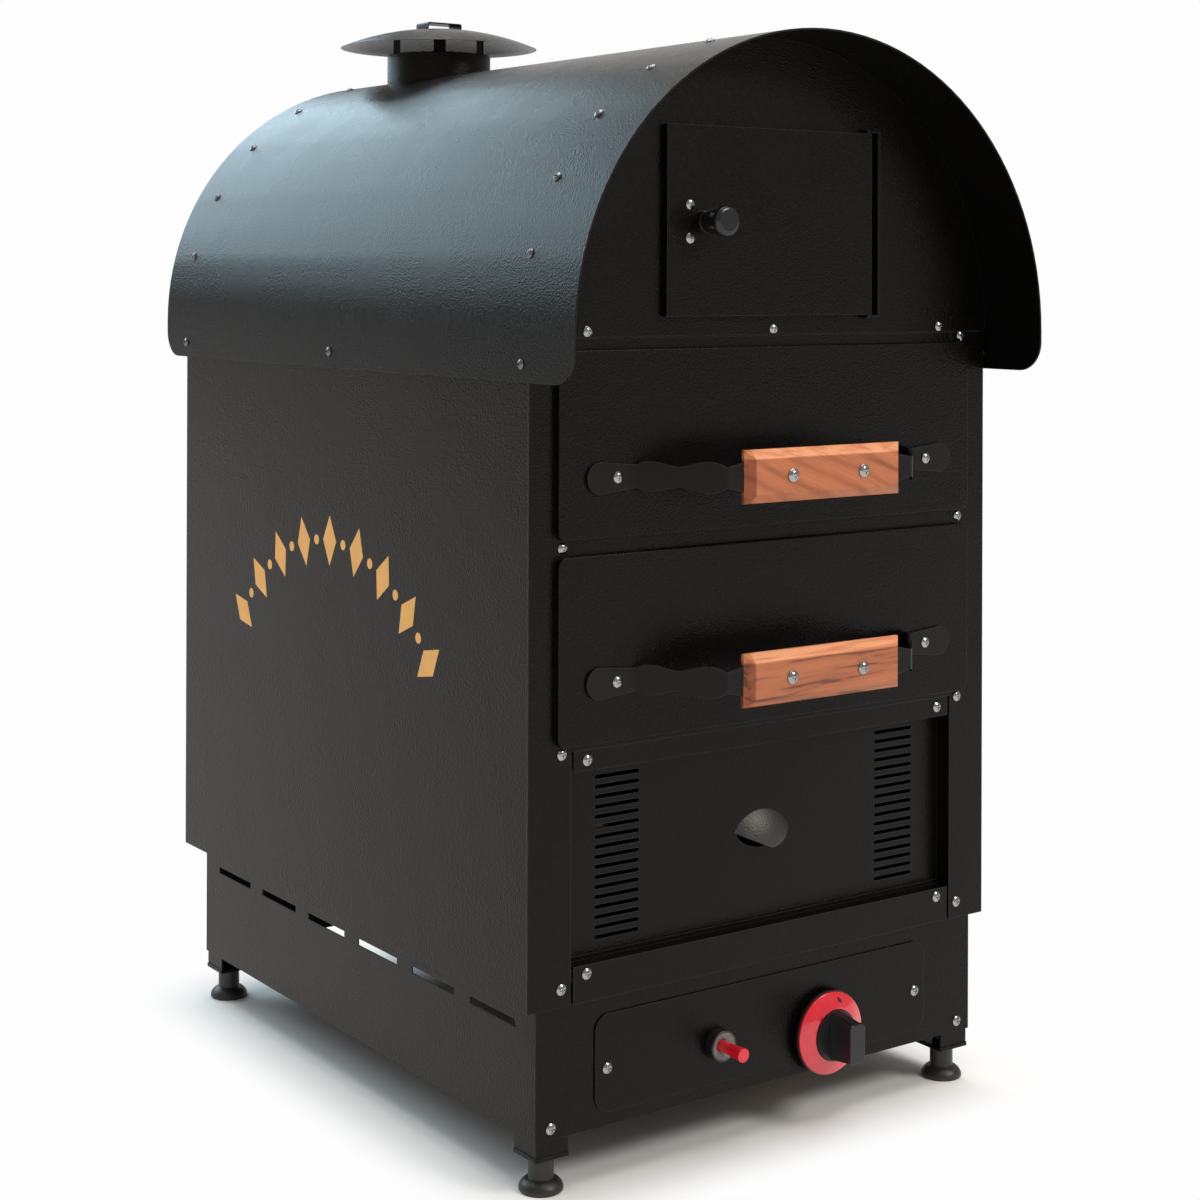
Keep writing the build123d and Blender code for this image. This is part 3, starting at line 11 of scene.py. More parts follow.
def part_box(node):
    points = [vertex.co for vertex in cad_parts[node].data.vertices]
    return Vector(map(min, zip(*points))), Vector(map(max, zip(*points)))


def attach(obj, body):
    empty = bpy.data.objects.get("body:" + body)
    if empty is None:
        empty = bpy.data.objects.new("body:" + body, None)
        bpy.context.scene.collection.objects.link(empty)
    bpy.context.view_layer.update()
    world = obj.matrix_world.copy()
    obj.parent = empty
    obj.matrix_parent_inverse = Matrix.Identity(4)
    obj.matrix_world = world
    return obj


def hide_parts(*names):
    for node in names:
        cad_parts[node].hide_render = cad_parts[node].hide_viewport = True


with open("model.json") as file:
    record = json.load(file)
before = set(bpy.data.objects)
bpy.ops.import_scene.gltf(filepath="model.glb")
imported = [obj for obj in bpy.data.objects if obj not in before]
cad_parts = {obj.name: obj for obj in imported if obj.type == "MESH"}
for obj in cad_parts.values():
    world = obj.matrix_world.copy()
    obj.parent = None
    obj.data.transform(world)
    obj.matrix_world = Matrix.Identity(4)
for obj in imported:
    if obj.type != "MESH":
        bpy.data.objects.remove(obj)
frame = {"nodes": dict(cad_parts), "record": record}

bl_info = {
    "name": "Potato Oven",
    "version": (1, 0, 0),
    "blender": (4, 5, 0),
    "location": "View3D > Sidebar > Oven",
    "description": "Finishes the sheets, grips, controls and stage of a two-drawer potato oven",
    "category": "Object",
}

MM = 0.001
SMOOTH_ANGLE = 50.0

# The louvre panel stands back from the front frame, and its finger scoop has these outlines.
PANEL_RECESS = 14 * MM
SCOOP_HALF_WIDTH = 28.5 * MM
SCOOP_ARCH = 15 * MM
SCOOP_CORNER_HEIGHT = 250 * MM

# Shares by which screw heads on the front and on the wooden grips are drawn broader.
FRONT_HEAD_SHARE = 1.12
GRIP_HEAD_SHARE = 1.36
HEAD_HEIGHT = 3.6 * MM

# The oval mark on the gas knob's ring.
POINTER_RADIUS = 28 * MM
POINTER_TURN = math.radians(14)
POINTER_LEAN = math.radians(25)
POINTER_SIZE = (1.5 * MM, 2.7 * MM, 0.5 * MM)

# The painted shapes on the side.
LOZENGE_TALL = 44 * MM
LOZENGE_WIDE = 24 * MM
DOT_WIDTH = 9 * MM
ARCH_CENTRE_HEIGHT = 0.258
ARCH_CENTRE_BACK = 10 * MM
PAINT_THICKNESS = 0.12 * MM

# Where the camera stands: left of the middle, ahead of the front frame, above the floor.
CAMERA_LEFT = 1.1527
CAMERA_AHEAD = 1.3901
CAMERA_HEIGHT = 0.7085
BACKDROP_WHITE = (0.982, 0.982, 0.982, 1.0)
SURROUND_COLOUR = (1.0, 0.96, 0.915, 1.0)

# Name, place, aim, size and colour of each lamp. Its power is the stage setting of the same name.
LAMPS = (
    ("top_lamp", (0.2, 0.1, 2.9), (0, 0, 0), (2.6, 2.6), (1.0, 0.98, 0.95)),
    ("rear_lamp", (-0.8, 3.2, 2.1), (-0.2, 0, 0.8), (4.1, 1.7), (0.62, 0.86, 1.0)),
    ("front_lamp", (1.1, -2.5, 2.3), (0, 0, 0.5), (1.0, 1.0), (1.0, 0.97, 0.94)),
    ("crown_lamp", (2.4, 3.1, 2.3), (0, 0, 0.9), (1.5, 1.5), (1.0, 0.99, 0.97)),
)

SIDE_SHEETS = ("side_panels", "base_side_panels")
OUTER_SHEETS = ("base_side_panels", "base_front_panel", "base_rear_panel", "corner_posts", "foot_plates",
                "control_panel", "side_panels", "rear_panel", "front_frame", "bay_strips", "front_gable",
                "louvre_panel", "door_panel", "door_hinge", "upper_drawer_front", "lower_drawer_front")
DRAWERS = ("upper", "lower")
FEET = ("foot_front_left", "foot_front_right", "foot_rear_left", "foot_rear_right")
SCREW_GROUPS = ("front_screws", "roof_screws", "door_screws", "upper_drawer_screws", "lower_drawer_screws")
INNER_SHEETS = ("base_deck", "oven_liner", "drawer_runners", "heat_deflector", "warming_shelf", "burner_tube",
                "burner_brackets", "upper_drawer_tray", "lower_drawer_tray", "catch_strike")
# Inner sheets that take a near-black steel as painted shade.
SHADE_DARK_SHEETS = ("base_deck", "oven_liner", "drawer_runners", "heat_deflector")
BRASS_PIECES = ("gas_valve", "gas_inlet", "plunger_collar")
COPPER_PIECES = ("supply_pipe", "burner_feed", "thermocouple")


# ------------------------------------------------------------------ settings a user would change
class OvenCoatSettings(bpy.types.PropertyGroup):
    """The black powder coat on the outer sheets."""
    colour: FloatVectorProperty(name="Coat colour", description="Colour of the black coat",
                                subtype="COLOR", size=3, min=0.0, max=1.0, default=(0.0026, 0.0023, 0.0021))
    roughness: FloatProperty(name="Roughness", description="How matt the coat is",
                             subtype="FACTOR", min=0.0, max=1.0, default=0.27)
    gloss: FloatProperty(name="Gloss", description="Strength of the coat's reflection",
                         subtype="FACTOR", min=0.0, max=1.0, default=0.18)
    sheen_tint: FloatVectorProperty(name="Reflection tint", description="Warm tint of the coat's reflection",
                                    subtype="COLOR", size=3, min=0.0, max=1.0, default=(1.0, 0.94, 0.88))
    grain: FloatProperty(name="Grain", description="Width of one pimple of the textured coat",
                         unit="LENGTH", min=0.0005, max=0.01, default=1.7 * MM, precision=4)
    grain_height: FloatProperty(name="Grain height", description="Height of the coat's texture",
                                unit="LENGTH", min=0.0, max=0.002, default=0.24 * MM, precision=5)
    edge_radius: FloatProperty(name="Edge radius", description="Rounding of the folded sheet edges",
                               unit="LENGTH", min=0.0001, max=0.002, default=0.55 * MM, precision=5)


class OvenWoodSettings(bpy.types.PropertyGroup):
    """The wooden grips."""
    light: FloatVectorProperty(name="Light grain", description="Colour between the dark streaks",
                               subtype="COLOR", size=3, min=0.0, max=1.0, default=(0.50, 0.158, 0.062))
    dark: FloatVectorProperty(name="Dark grain", description="Colour of the dark streaks",
                              subtype="COLOR", size=3, min=0.0, max=1.0, default=(0.19, 0.05, 0.02))
    # Colour of the painted highlight along each grip's top chamfer, where the light from above falls.
    painted_top_highlight: FloatVectorProperty(name="Painted top highlight", description="Pale wood along the upper edge",
                                 subtype="COLOR", size=3, min=0.0, max=1.0, default=(0.86, 0.36, 0.17))
    edge_radius: FloatProperty(name="Edge radius", description="Rounding of the grip's edges",
                               unit="LENGTH", min=0.0001, max=0.003, default=0.9 * MM, precision=5)


class OvenControlSettings(bpy.types.PropertyGroup):
    """The gas knob and the igniter."""
    red: FloatVectorProperty(name="Red", description="Colour of the knob's ring and the button",
                             subtype="COLOR", size=3, min=0.0, max=1.0, default=(0.80, 0.012, 0.03))
    black: FloatVectorProperty(name="Black", description="Colour of the moulded knobs",
                               subtype="COLOR", size=3, min=0.0, max=1.0, default=(0.012, 0.012, 0.013))


class OvenOrnamentSettings(bpy.types.PropertyGroup):
    """The arched row of plain shapes on the left side."""
    colour: FloatVectorProperty(name="Ornament colour", description="Colour of the painted shapes",
                                subtype="COLOR", size=3, min=0.0, max=1.0, default=(0.85, 0.42, 0.10))
    count: IntProperty(name="Lozenges", description="Number of large lozenges in the arch",
                       min=3, max=30, default=9)
    radius: FloatProperty(name="Arch radius", description="Radius of the arch",
                          unit="LENGTH", min=0.05, max=0.5, default=0.215)
    spread: FloatProperty(name="Spread", description="Angle that the arch covers",
                          subtype="ANGLE", min=0.2, max=3.1, default=math.radians(104))


class OvenStageSettings(bpy.types.PropertyGroup):
    """The floor, lamps and camera."""
    floor: FloatVectorProperty(name="Floor colour", description="Colour of the pale floor",
                               subtype="COLOR", size=3, min=0.0, max=1.0, default=(1.0, 0.985, 0.965))
    surround: FloatProperty(name="Surround", description="Strength of the studio's surrounding light",
                            min=0.0, max=3.0, default=0.34)
    top_lamp: FloatProperty(name="Top lamp", description="Power of the broad lamp overhead",
                            unit="POWER", min=0.0, max=500.0, default=80.0)
    rear_lamp: FloatProperty(name="Rear lamp", description="Power of the tall cool lamp behind the left side",
                             unit="POWER", min=0.0, max=500.0, default=86.0)
    front_lamp: FloatProperty(name="Front lamp", description="Power of the small lamp beside the camera",
                              unit="POWER", min=0.0, max=500.0, default=40.0)
    crown_lamp: FloatProperty(name="Crown lamp", description="Power of the lamp skimming the roof's top",
                              unit="POWER", min=0.0, max=500.0, default=4.0)
    shadow_reach: FloatProperty(name="Shadow reach", description="How far past the base the shadow fades out",
                                unit="LENGTH", min=0.02, max=5.0, default=0.075)
    yaw: FloatProperty(name="Camera yaw", description="Turn of the camera to the right of straight ahead",
                       subtype="ANGLE", default=math.radians(35.1335))
    pitch: FloatProperty(name="Camera pitch", description="Tilt of the camera upwards",
                         subtype="ANGLE", default=math.radians(0.0533))
    roll: FloatProperty(name="Camera roll", description="Roll of the camera",
                        subtype="ANGLE", default=math.radians(0.1851))
    lens: FloatProperty(name="Lens", description="Focal length on a 36 mm sensor",
                        unit="CAMERA", min=10.0, max=300.0, default=65.75)
    drop: FloatProperty(name="Lens drop", description="Downward shift of the frame, as a share of its width",
                        min=-1.0, max=1.0, default=-0.2743)


class OvenSettings(bpy.types.PropertyGroup):
    """All settings of the oven."""
    coat: PointerProperty(type=OvenCoatSettings)
    wood: PointerProperty(type=OvenWoodSettings)
    controls: PointerProperty(type=OvenControlSettings)
    ornament: PointerProperty(type=OvenOrnamentSettings)
    stage: PointerProperty(type=OvenStageSettings)


def settings():
    return bpy.context.scene.oven


# ------------------------------------------------------------------ modelling helpers
def deselect():
    if bpy.context.object and bpy.context.object.mode != "OBJECT":
        bpy.ops.object.mode_set(mode="OBJECT")
    bpy.ops.object.select_all(action="DESELECT")


def make_active(piece):
    deselect()
    piece.select_set(True)
    bpy.context.view_layer.objects.active = piece


def apply_modifiers(piece):
    make_active(piece)
    for modifier in list(piece.modifiers):
        bpy.ops.object.modifier_apply(modifier=modifier.name)


def settle(piece):
    """Puts the piece's place, turn and scale into its mesh."""
    make_active(piece)
    bpy.ops.object.transform_apply(location=True, rotation=True, scale=True)


def give(piece, material):
    piece.data.materials.clear()
    piece.data.materials.append(material)


def belongs(piece, body):
    """Says which body a piece moves with."""
    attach(piece, body)
    return piece


def body_of_node(node):
    for body, members in frame["record"]["behaviour"]["bodies"].items():
        if node in members:
            return body
    raise RuntimeError("no body holds " + node)


def merged_copy(node, name):
    """A copy of a node with its triangles joined and its flat faces whole."""
    source = frame["nodes"][node]
    piece = bpy.data.objects.new(name, source.data.copy())
    bpy.context.scene.collection.objects.link(piece)
    make_active(piece)
    bpy.ops.object.mode_set(mode="EDIT")
    bpy.ops.mesh.select_all(action="SELECT")
    bpy.ops.mesh.remove_doubles(threshold=0.00001)
    bpy.ops.mesh.dissolve_limited(angle_limit=math.radians(0.5))
    bpy.ops.mesh.normals_make_consistent(inside=False)
    bpy.ops.object.mode_set(mode="OBJECT")
    return piece


def dressed_node(node, material, edge_radius, segments=2, sharp=30.0, shape=None):
    """A copy of a node with rounded edges and its own finish, standing for that node."""
    piece = merged_copy(node, node + "_finished")
    if shape:
        shape(piece)
    bevel = piece.modifiers.new("rounded edges", "BEVEL")
    bevel.width = edge_radius
    bevel.segments = segments
    bevel.limit_method = "ANGLE"
    bevel.angle_limit = math.radians(sharp)
    apply_modifiers(piece)
    make_active(piece)
    bpy.ops.object.shade_smooth_by_angle(angle=math.radians(SMOOTH_ANGLE))
    flat = piece.modifiers.new("flat faces stay flat", "WEIGHTED_NORMAL")
    flat.mode = "FACE_AREA_WITH_ANGLE"
    flat.weight = 100
    flat.thresh = 0.01
    flat.keep_sharp = True
    apply_modifiers(piece)
    give(piece, material)
    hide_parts(node)
    return belongs(piece, body_of_node(node))


def stretch_where(piece, test, factors, middle):
    """Stretches the vertices that pass the test, about a middle."""
    make_active(piece)
    bpy.ops.object.mode_set(mode="EDIT")
    bpy.ops.mesh.select_mode(type="VERT")
    mesh = bmesh.from_edit_mesh(piece.data)
    for vertex in mesh.verts:
        vertex.select_set(test(vertex))
    mesh.select_flush_mode()
    bmesh.update_edit_mesh(piece.data)
    bpy.ops.transform.resize(value=factors, center_override=tuple(middle))
    bpy.ops.object.mode_set(mode="OBJECT")


def cut_loop(piece, place, normal, keep_all=True):
    """Cuts all faces of a piece with a plane, and drops what lies past it unless all is kept."""
    make_active(piece)
    bpy.ops.object.mode_set(mode="EDIT")
    bpy.ops.mesh.select_all(action="SELECT")
    bpy.ops.mesh.bisect(plane_co=place, plane_no=normal, clear_outer=not keep_all)
    bpy.ops.object.mode_set(mode="OBJECT")


def draw_out(piece, move):
    """Gives a flat piece thickness along a direction."""
    make_active(piece)
    bpy.ops.object.mode_set(mode="EDIT")
    bpy.ops.mesh.select_all(action="SELECT")
    bpy.ops.mesh.extrude_region_move(TRANSFORM_OT_translate={"value": move})
    bpy.ops.mesh.select_all(action="SELECT")
    bpy.ops.mesh.normals_make_consistent(inside=False)
    bpy.ops.object.mode_set(mode="OBJECT")


def carve(piece, cutter, name):
    """Takes the cutter's shape out of a piece, and removes the cutter."""
    hole = piece.modifiers.new(name, "BOOLEAN")
    hole.operation = "DIFFERENCE"
    hole.solver = "EXACT"
    hole.object = cutter
    apply_modifiers(piece)
    make_active(cutter)
    bpy.ops.object.delete()


def panel_face():
    """Depth of the louvre panel's front face."""
    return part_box("front_frame")[0].y + PANEL_RECESS


def open_scoop(piece):
    """Opens the louvre panel under the lip of its finger scoop with a lens-shaped hole."""
    radius = (SCOOP_HALF_WIDTH ** 2 + SCOOP_ARCH ** 2) / (2 * SCOOP_ARCH)
    face = panel_face() - 0.1 * MM
    deselect()
    bpy.ops.mesh.primitive_circle_add(vertices=128, radius=radius, fill_type="NGON",
                                      location=(0.0, face, SCOOP_CORNER_HEIGHT - SCOOP_ARCH + radius),
                                      rotation=(math.pi / 2, 0.0, 0.0))
    cutter = bpy.context.object
    settle(cutter)
    cut_loop(cutter, (0.0, face, SCOOP_CORNER_HEIGHT - 0.1 * MM), (0.0, 0.0, 1.0), keep_all=False)
    draw_out(cutter, (0.0, 2.6 * MM, 0.0))
    carve(piece, cutter, "scoop opening")
    trim_scoop_lip(piece, face)


def trim_scoop_lip(piece, face):
    """Trims the scoop's lip to a straight slope from its left corner down to its middle."""
    start = Vector((-SCOOP_HALF_WIDTH, face, SCOOP_CORNER_HEIGHT))
    middle = Vector((0.0, face - 12 * MM, SCOOP_CORNER_HEIGHT - 12.8 * MM))
    away = Vector((0.62, 0.76, -0.2)).normalized()
    along = middle - start
    along = (along - along.dot(away) * away).normalized()
    upward = along.cross(away)
    if upward.z < 0:
        upward = -upward
    length = (middle - start).dot(along) + 2 * MM
    deselect()
    bpy.ops.mesh.primitive_cube_add(size=1.0)
    cutter = bpy.context.object
    turn = Matrix((along, away, upward)).transposed().to_4x4()
    centre = start + along * length / 2 - upward * 10 * MM
    cutter.matrix_world = (Matrix.Translation(centre) @ turn
                           @ Matrix.Diagonal((length, 80 * MM, 20 * MM, 1.0)))
    settle(cutter)
    cut_loop(cutter, (0.0, face - 0.02 * MM, 0.0), (0.0, 1.0, 0.0), keep_all=False)
    bpy.ops.object.mode_set(mode="EDIT")
    bpy.ops.mesh.select_all(action="SELECT")
    bpy.ops.mesh.fill_holes(sides=0)
    bpy.ops.mesh.normals_make_consistent(inside=False)
    bpy.ops.object.mode_set(mode="OBJECT")
    carve(piece, cutter, "straight lip")


def linked_groups(piece):
    """The vertex numbers of each separate body of a mesh."""
    mesh = bmesh.new()
    mesh.from_mesh(piece.data)
    waiting, groups = set(mesh.verts), []
    while waiting:
        group, edge = set(), [waiting.pop()]
        while edge:
            vertex = edge.pop()
            group.add(vertex.index)
            for link in vertex.link_edges:
                other = link.other_vert(vertex)
                if other in waiting:
                    waiting.discard(other)
                    edge.append(other)
        groups.append(sorted(group))
    mesh.free()
    return sorted(groups)


def broaden_front_heads(piece):
    """Broadens the screw heads on the front a little, and those on the wooden grips more."""
    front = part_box("front_frame")[0].y
    for group in linked_groups(piece):
        places = [piece.data.vertices[index].co.copy() for index in group]
        low = Vector([min(place[axis] for place in places) for axis in range(3)])
        high = Vector([max(place[axis] for place in places) for axis in range(3)])
        if high.y > front + 60 * MM or high.y - low.y < 1 * MM:
            continue
        share = GRIP_HEAD_SHARE if low.y < front - 25 * MM else FRONT_HEAD_SHARE
        member = set(group)
        head_back = low.y + HEAD_HEIGHT
        stretch_where(piece, lambda vertex: vertex.index in member and vertex.co.y < head_back,
                      (share, 1.0, share), (low + high) / 2)


def flare_button(piece):
    """Flares the igniter's button from its neck to its front."""
    low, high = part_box("igniter_button")
    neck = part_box("igniter_body")[0].y - 4.5 * MM
    cut_loop(piece, (0.0, neck, 0.0), (0.0, 1.0, 0.0))
    stretch_where(piece, lambda vertex: vertex.co.y < neck - 1 * MM, (1.2, 1.0, 1.2), (low + high) / 2)


def widen_knob_bar(piece):
    """Gives the front end of the knob's bar its full, blunt shape."""
    low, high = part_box("knob_skirt")
    tip = min(vertex.co.y for vertex in piece.data.vertices)
    stretch_where(piece, lambda vertex: vertex.co.y < tip + 3 * MM, (1.33, 1.0, 1.1), (low + high) / 2)


# ------------------------------------------------------------------ finishes
class Finish:
    """A new material whose nodes are added and linked in one line each."""

    def __init__(self, name):
        self.material = bpy.data.materials.new(name)
        self.material.use_nodes = True
        self.tree = self.material.node_tree
        self.shader = self.tree.nodes["Principled BSDF"]
        self.coordinates = self.node("ShaderNodeTexCoord").outputs["Object"]

    def node(self, kind, links=None, **values):
        made = self.tree.nodes.new(kind)
        for key, value in values.items():
            setattr(made, key, value)
        for socket, source in (links or {}).items():
            if hasattr(source, "is_output"):
                self.tree.links.new(source, made.inputs[socket])
            else:
                made.inputs[socket].default_value = source
        return made

    def number(self, operation, *values):
        return self.node("ShaderNodeMath", dict(enumerate(values)), operation=operation).outputs["Value"]

    def arrow(self, operation, *values, output="Vector"):
        made = self.node("ShaderNodeVectorMath", dict(enumerate(values)), operation=operation)
        return made.outputs[output]

    def noise(self, size, detail=2.0, roughness=0.5, stretch=None):
        """A noise whose blobs are about size metres across."""
        vector = self.coordinates
        if stretch:
            vector = self.node("ShaderNodeMapping", {"Vector": vector, "Scale": stretch}).outputs["Vector"]
        return self.node("ShaderNodeTexNoise", {"Vector": vector, "Scale": 1.0 / size, "Detail": detail,
                                                "Roughness": roughness}).outputs["Fac"]

    def ramp(self, value, stops):
        made = self.node("ShaderNodeValToRGB", {"Fac": value})
        elements = made.color_ramp.elements
        while len(elements) < len(stops):
            elements.new(0.5)
        for element, (place, colour) in zip(elements, stops):
            element.position = place
            element.color = (*colour, 1.0)
        return made.outputs["Color"]

    def mix(self, factor, first, second, blend="MIX"):
        """Blends two colours, given as outputs or as plain colours."""
        made = self.node("ShaderNodeMix", data_type="RGBA", blend_type=blend)
        for index, source in ((0, factor), (6, first), (7, second)):
            if hasattr(source, "is_output"):
                self.tree.links.new(source, made.inputs[index])
            elif isinstance(source, (int, float)):
                made.inputs[index].default_value = source
            else:
                made.inputs[index].default_value = (*source, 1.0)
        return made.outputs[2]

    def spread(self, value, low, high):
        """Turns a value from 0..1 into the range low..high."""
        return self.node("ShaderNodeMapRange", {"Value": value, "To Min": low,
                                                "To Max": high}).outputs["Result"]

    def step(self, value, start, end):
        """Rises from nothing at start to full at end."""
        return self.node("ShaderNodeMapRange", {"Value": value, "From Min": start,
                                                "From Max": end}).outputs["Result"]

    def bump(self, height, distance):
        return self.node("ShaderNodeBump", {"Height": height, "Distance": distance,
                                            "Strength": 1.0}).outputs["Normal"]

    def plug(self, socket, source):
        if hasattr(source, "is_output"):
            self.tree.links.new(source, self.shader.inputs[socket])
        elif isinstance(source, tuple) and len(source) == 3:
            self.shader.inputs[socket].default_value = (*source, 1.0)
        else:
            self.shader.inputs[socket].default_value = source

    def painted_edge_highlights(self, colour, highlight_colour, amount):
        """Paints a highlight: mixes a lighter colour in where the surface turns sharply outwards."""
        edge = self.node("ShaderNodeBevel", {"Radius": 1.5 * MM}).outputs["Normal"]
        plain = self.node("ShaderNodeNewGeometry").outputs["Normal"]
        turn = self.arrow("DOT_PRODUCT", edge, plain, output="Value")
        keen = self.node("ShaderNodeMapRange", {"Value": turn, "From Min": 0.98, "From Max": 0.75,
                                                "To Min": 0.0, "To Max": amount}).outputs["Result"]
        return self.mix(keen, colour, highlight_colour)


def tint(colour, factor):
    return tuple(channel * factor for channel in colour)


def coat_finish(name="black_coat", grain_share=1.0, roughness=None, gloss=None, sheen=None):
    """Textured black powder coat: fine pebbles, painted glints as pale specks on the grain, and painted
    highlights as slightly paler edges.
    """
    own = settings().coat
    finish = Finish(name)
    colour = tuple(own.colour)
    cloud = finish.noise(120 * MM, detail=3.0)
    base = finish.ramp(cloud, ((0.3, tint(colour, 0.85)), (0.7, tint(colour, 1.15))))
    # Pale specks on the grain are painted glints, standing in for the small highlights of the textured coat.
    painted_glints = finish.noise(own.grain * 0.5, detail=1.0)
    pale = tint(colour, 1.0 + 5.0 * grain_share)
    base = finish.mix(finish.ramp(painted_glints, ((0.58, (0, 0, 0)), (0.74, (0.7, 0.7, 0.7)))), base, pale)
    # The sheet edges take a lighter colour: painted highlights along the edges.
    finish.plug("Base Color", finish.painted_edge_highlights(base, tint(colour, 18.0), amount=0.7))
    smear = finish.noise(60 * MM, detail=4.0)
    matt = own.roughness if roughness is None else roughness
    finish.plug("Roughness", finish.spread(smear, matt - 0.04, matt + 0.05))
    finish.plug("Specular IOR Level", own.gloss if gloss is None else gloss)
    finish.plug("Specular Tint", tuple(own.sheen_tint if sheen is None else sheen))
    pebbles = finish.node("ShaderNodeTexVoronoi", {"Vector": finish.coordinates, "Scale": 1.0 / own.grain,
                                                   "Smoothness": 0.6, "Randomness": 0.9},
                          feature="SMOOTH_F1").outputs["Distance"]
    finish.plug("Normal", finish.bump(pebbles, own.grain_height * grain_share))
    return finish.material


def steel_finish(name, colour=(0.62, 0.61, 0.6), roughness=0.28, brushed=None):
    """Bare metal with faint scratches, brushed along one axis where asked."""
    finish = Finish(name)
    finish.plug("Metallic", 1.0)
    cloud = finish.noise(25 * MM, detail=3.0)
    finish.plug("Base Color", finish.ramp(cloud, ((0.3, tint(colour, 0.9)), (0.7, tint(colour, 1.06)))))
    if brushed:
        lines = finish.noise(0.8 * MM, detail=3.0, stretch=brushed)
        finish.plug("Normal", finish.bump(lines, 0.02 * MM))
        finish.plug("Roughness", finish.spread(lines, roughness - 0.06, roughness + 0.1))
    else:
        marks = finish.noise(1.2 * MM, detail=2.0)
        finish.plug("Normal", finish.bump(marks, 0.01 * MM))
        finish.plug("Roughness", finish.spread(marks, roughness - 0.05, roughness + 0.08))
    return finish.material


def plastic_finish(name, colour, roughness, grain=0.0, coat=0.0):
    """Moulded plastic with a faint skin texture."""
    finish = Finish(name)
    cloud = finish.noise(8 * MM, detail=2.0)
    base = finish.ramp(cloud, ((0.3, tint(colour, 0.93)), (0.7, tint(colour, 1.07))))
    finish.plug("Base Color", base)
    skin = finish.noise(0.7 * MM, detail=2.0)
    finish.plug("Roughness", finish.spread(skin, roughness - 0.03, roughness + 0.05))
    finish.plug("Normal", finish.bump(skin, grain))
    finish.shader.inputs["Coat Weight"].default_value = coat
    finish.shader.inputs["Coat Roughness"].default_value = 0.04
    return finish.material


def wood_finish(name, node, offset, slant, streak_depth, arc_share):
    """Oiled hardwood: long streaks, flowing year lines and fine fibres along the grip, with a painted
    highlight on the top chamfer and painted shade on the left end.
    """
    own = settings().wood
    finish = Finish(name)
    light, dark = tuple(own.light), tuple(own.dark)
    deep = tuple(a + (b - a) * streak_depth for a, b in zip(light, dark))
    middle = tuple((3 * a + b) / 4 for a, b in zip(light, deep))
    place = finish.node("ShaderNodeMapping", {"Vector": finish.coordinates, "Location": offset,
                                              "Rotation": (0.0, slant, 0.0)}).outputs["Vector"]

    def along(length, width, detail, distortion):
        scaled = finish.node("ShaderNodeMapping", {"Vector": place,
                                                   "Scale": (1 / length, 1 / width, 1 / width)})
        return finish.node("ShaderNodeTexNoise", {"Vector": scaled.outputs["Vector"], "Scale": 1.0,
                                                  "Detail": detail, "Roughness": 0.55,
                                                  "Distortion": distortion}).outputs["Fac"]

    streaks = along(75 * MM, 5.5 * MM, 5.0, 0.35)
    base = finish.ramp(streaks, ((0.36, deep), (0.44, middle), (0.58, light), (0.75, tint(light, 1.12))))
    arcs = finish.node("ShaderNodeTexWave", {"Vector": place, "Scale": 21.0, "Distortion": 5.0, "Detail": 2.0,
                                             "Detail Scale": 0.45, "Detail Roughness": 0.55},
                       wave_type="BANDS", bands_direction="Z").outputs["Fac"]
    arced = finish.ramp(arcs, ((0.0, (0.78, 0.7, 0.63)), (0.3, (1.0, 1.0, 1.0)), (0.8, (1.08, 1.08, 1.08))))
    base = finish.mix(arc_share, base, arced, blend="MULTIPLY")
    fibres = along(26 * MM, 0.7 * MM, 2.0, 0.0)
    fine = finish.ramp(fibres, ((0.35, (0.7, 0.62, 0.56)), (0.52, (1.0, 1.0, 1.0))))
    base = finish.mix(0.45, base, fine, blend="MULTIPLY")
    low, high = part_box(node)
    parts = finish.node("ShaderNodeSeparateXYZ", {"Vector": finish.coordinates})
    # The top band of each grip, its top chamfer, is lightened: painted highlight where the light from above
    # falls.
    upper = finish.step(parts.outputs["Z"], high.z - 7.6 * MM, high.z - 6.4 * MM)
    pale = finish.ramp(streaks, ((0.4, tint(light, 1.45)), (0.52, tuple(own.painted_top_highlight)),
                                 (0.68, tint(own.painted_top_highlight, 1.1))))
    base = finish.mix(upper, base, pale)
    # The left end chamfer of each grip is darkened: partly its darker end grain, partly painted shade on the
    # side turned from the light.
    end = finish.step(parts.outputs["X"], low.x + 7.4 * MM, low.x + 6.4 * MM)
    finish.plug("Base Color", finish.mix(end, base, (0.72, 0.6, 0.5), blend="MULTIPLY"))
    finish.plug("Roughness", finish.spread(streaks, 0.34, 0.48))
    finish.plug("Normal", finish.bump(fibres, 0.06 * MM))
    return finish.material


def fibre_finish(name, colour):
    """Soft mineral wool."""
    finish = Finish(name)
    tufts = finish.noise(6 * MM, detail=6.0, roughness=0.7)
    finish.plug("Base Color", finish.ramp(tufts, ((0.3, tint(colour, 0.7)), (0.7, tint(colour, 1.15)))))
    finish.plug("Roughness", 0.95)
    finish.plug("Normal", finish.bump(tufts, 1.5 * MM))
    return finish.material


def paint_finish(name, colour):
    """Screen-printed colour over the textured coat."""
    own = settings().coat
    finish = Finish(name)
    cloud = finish.noise(14 * MM, detail=3.0)
    finish.plug("Base Color", finish.ramp(cloud, ((0.3, tint(colour, 0.94)), (0.7, tint(colour, 1.04)))))
    finish.plug("Roughness", finish.spread(cloud, 0.45, 0.55))
    pimples = finish.noise(own.grain, detail=2.0, roughness=0.55)
    finish.plug("Normal", finish.bump(pimples, own.grain_height))
    return finish.material


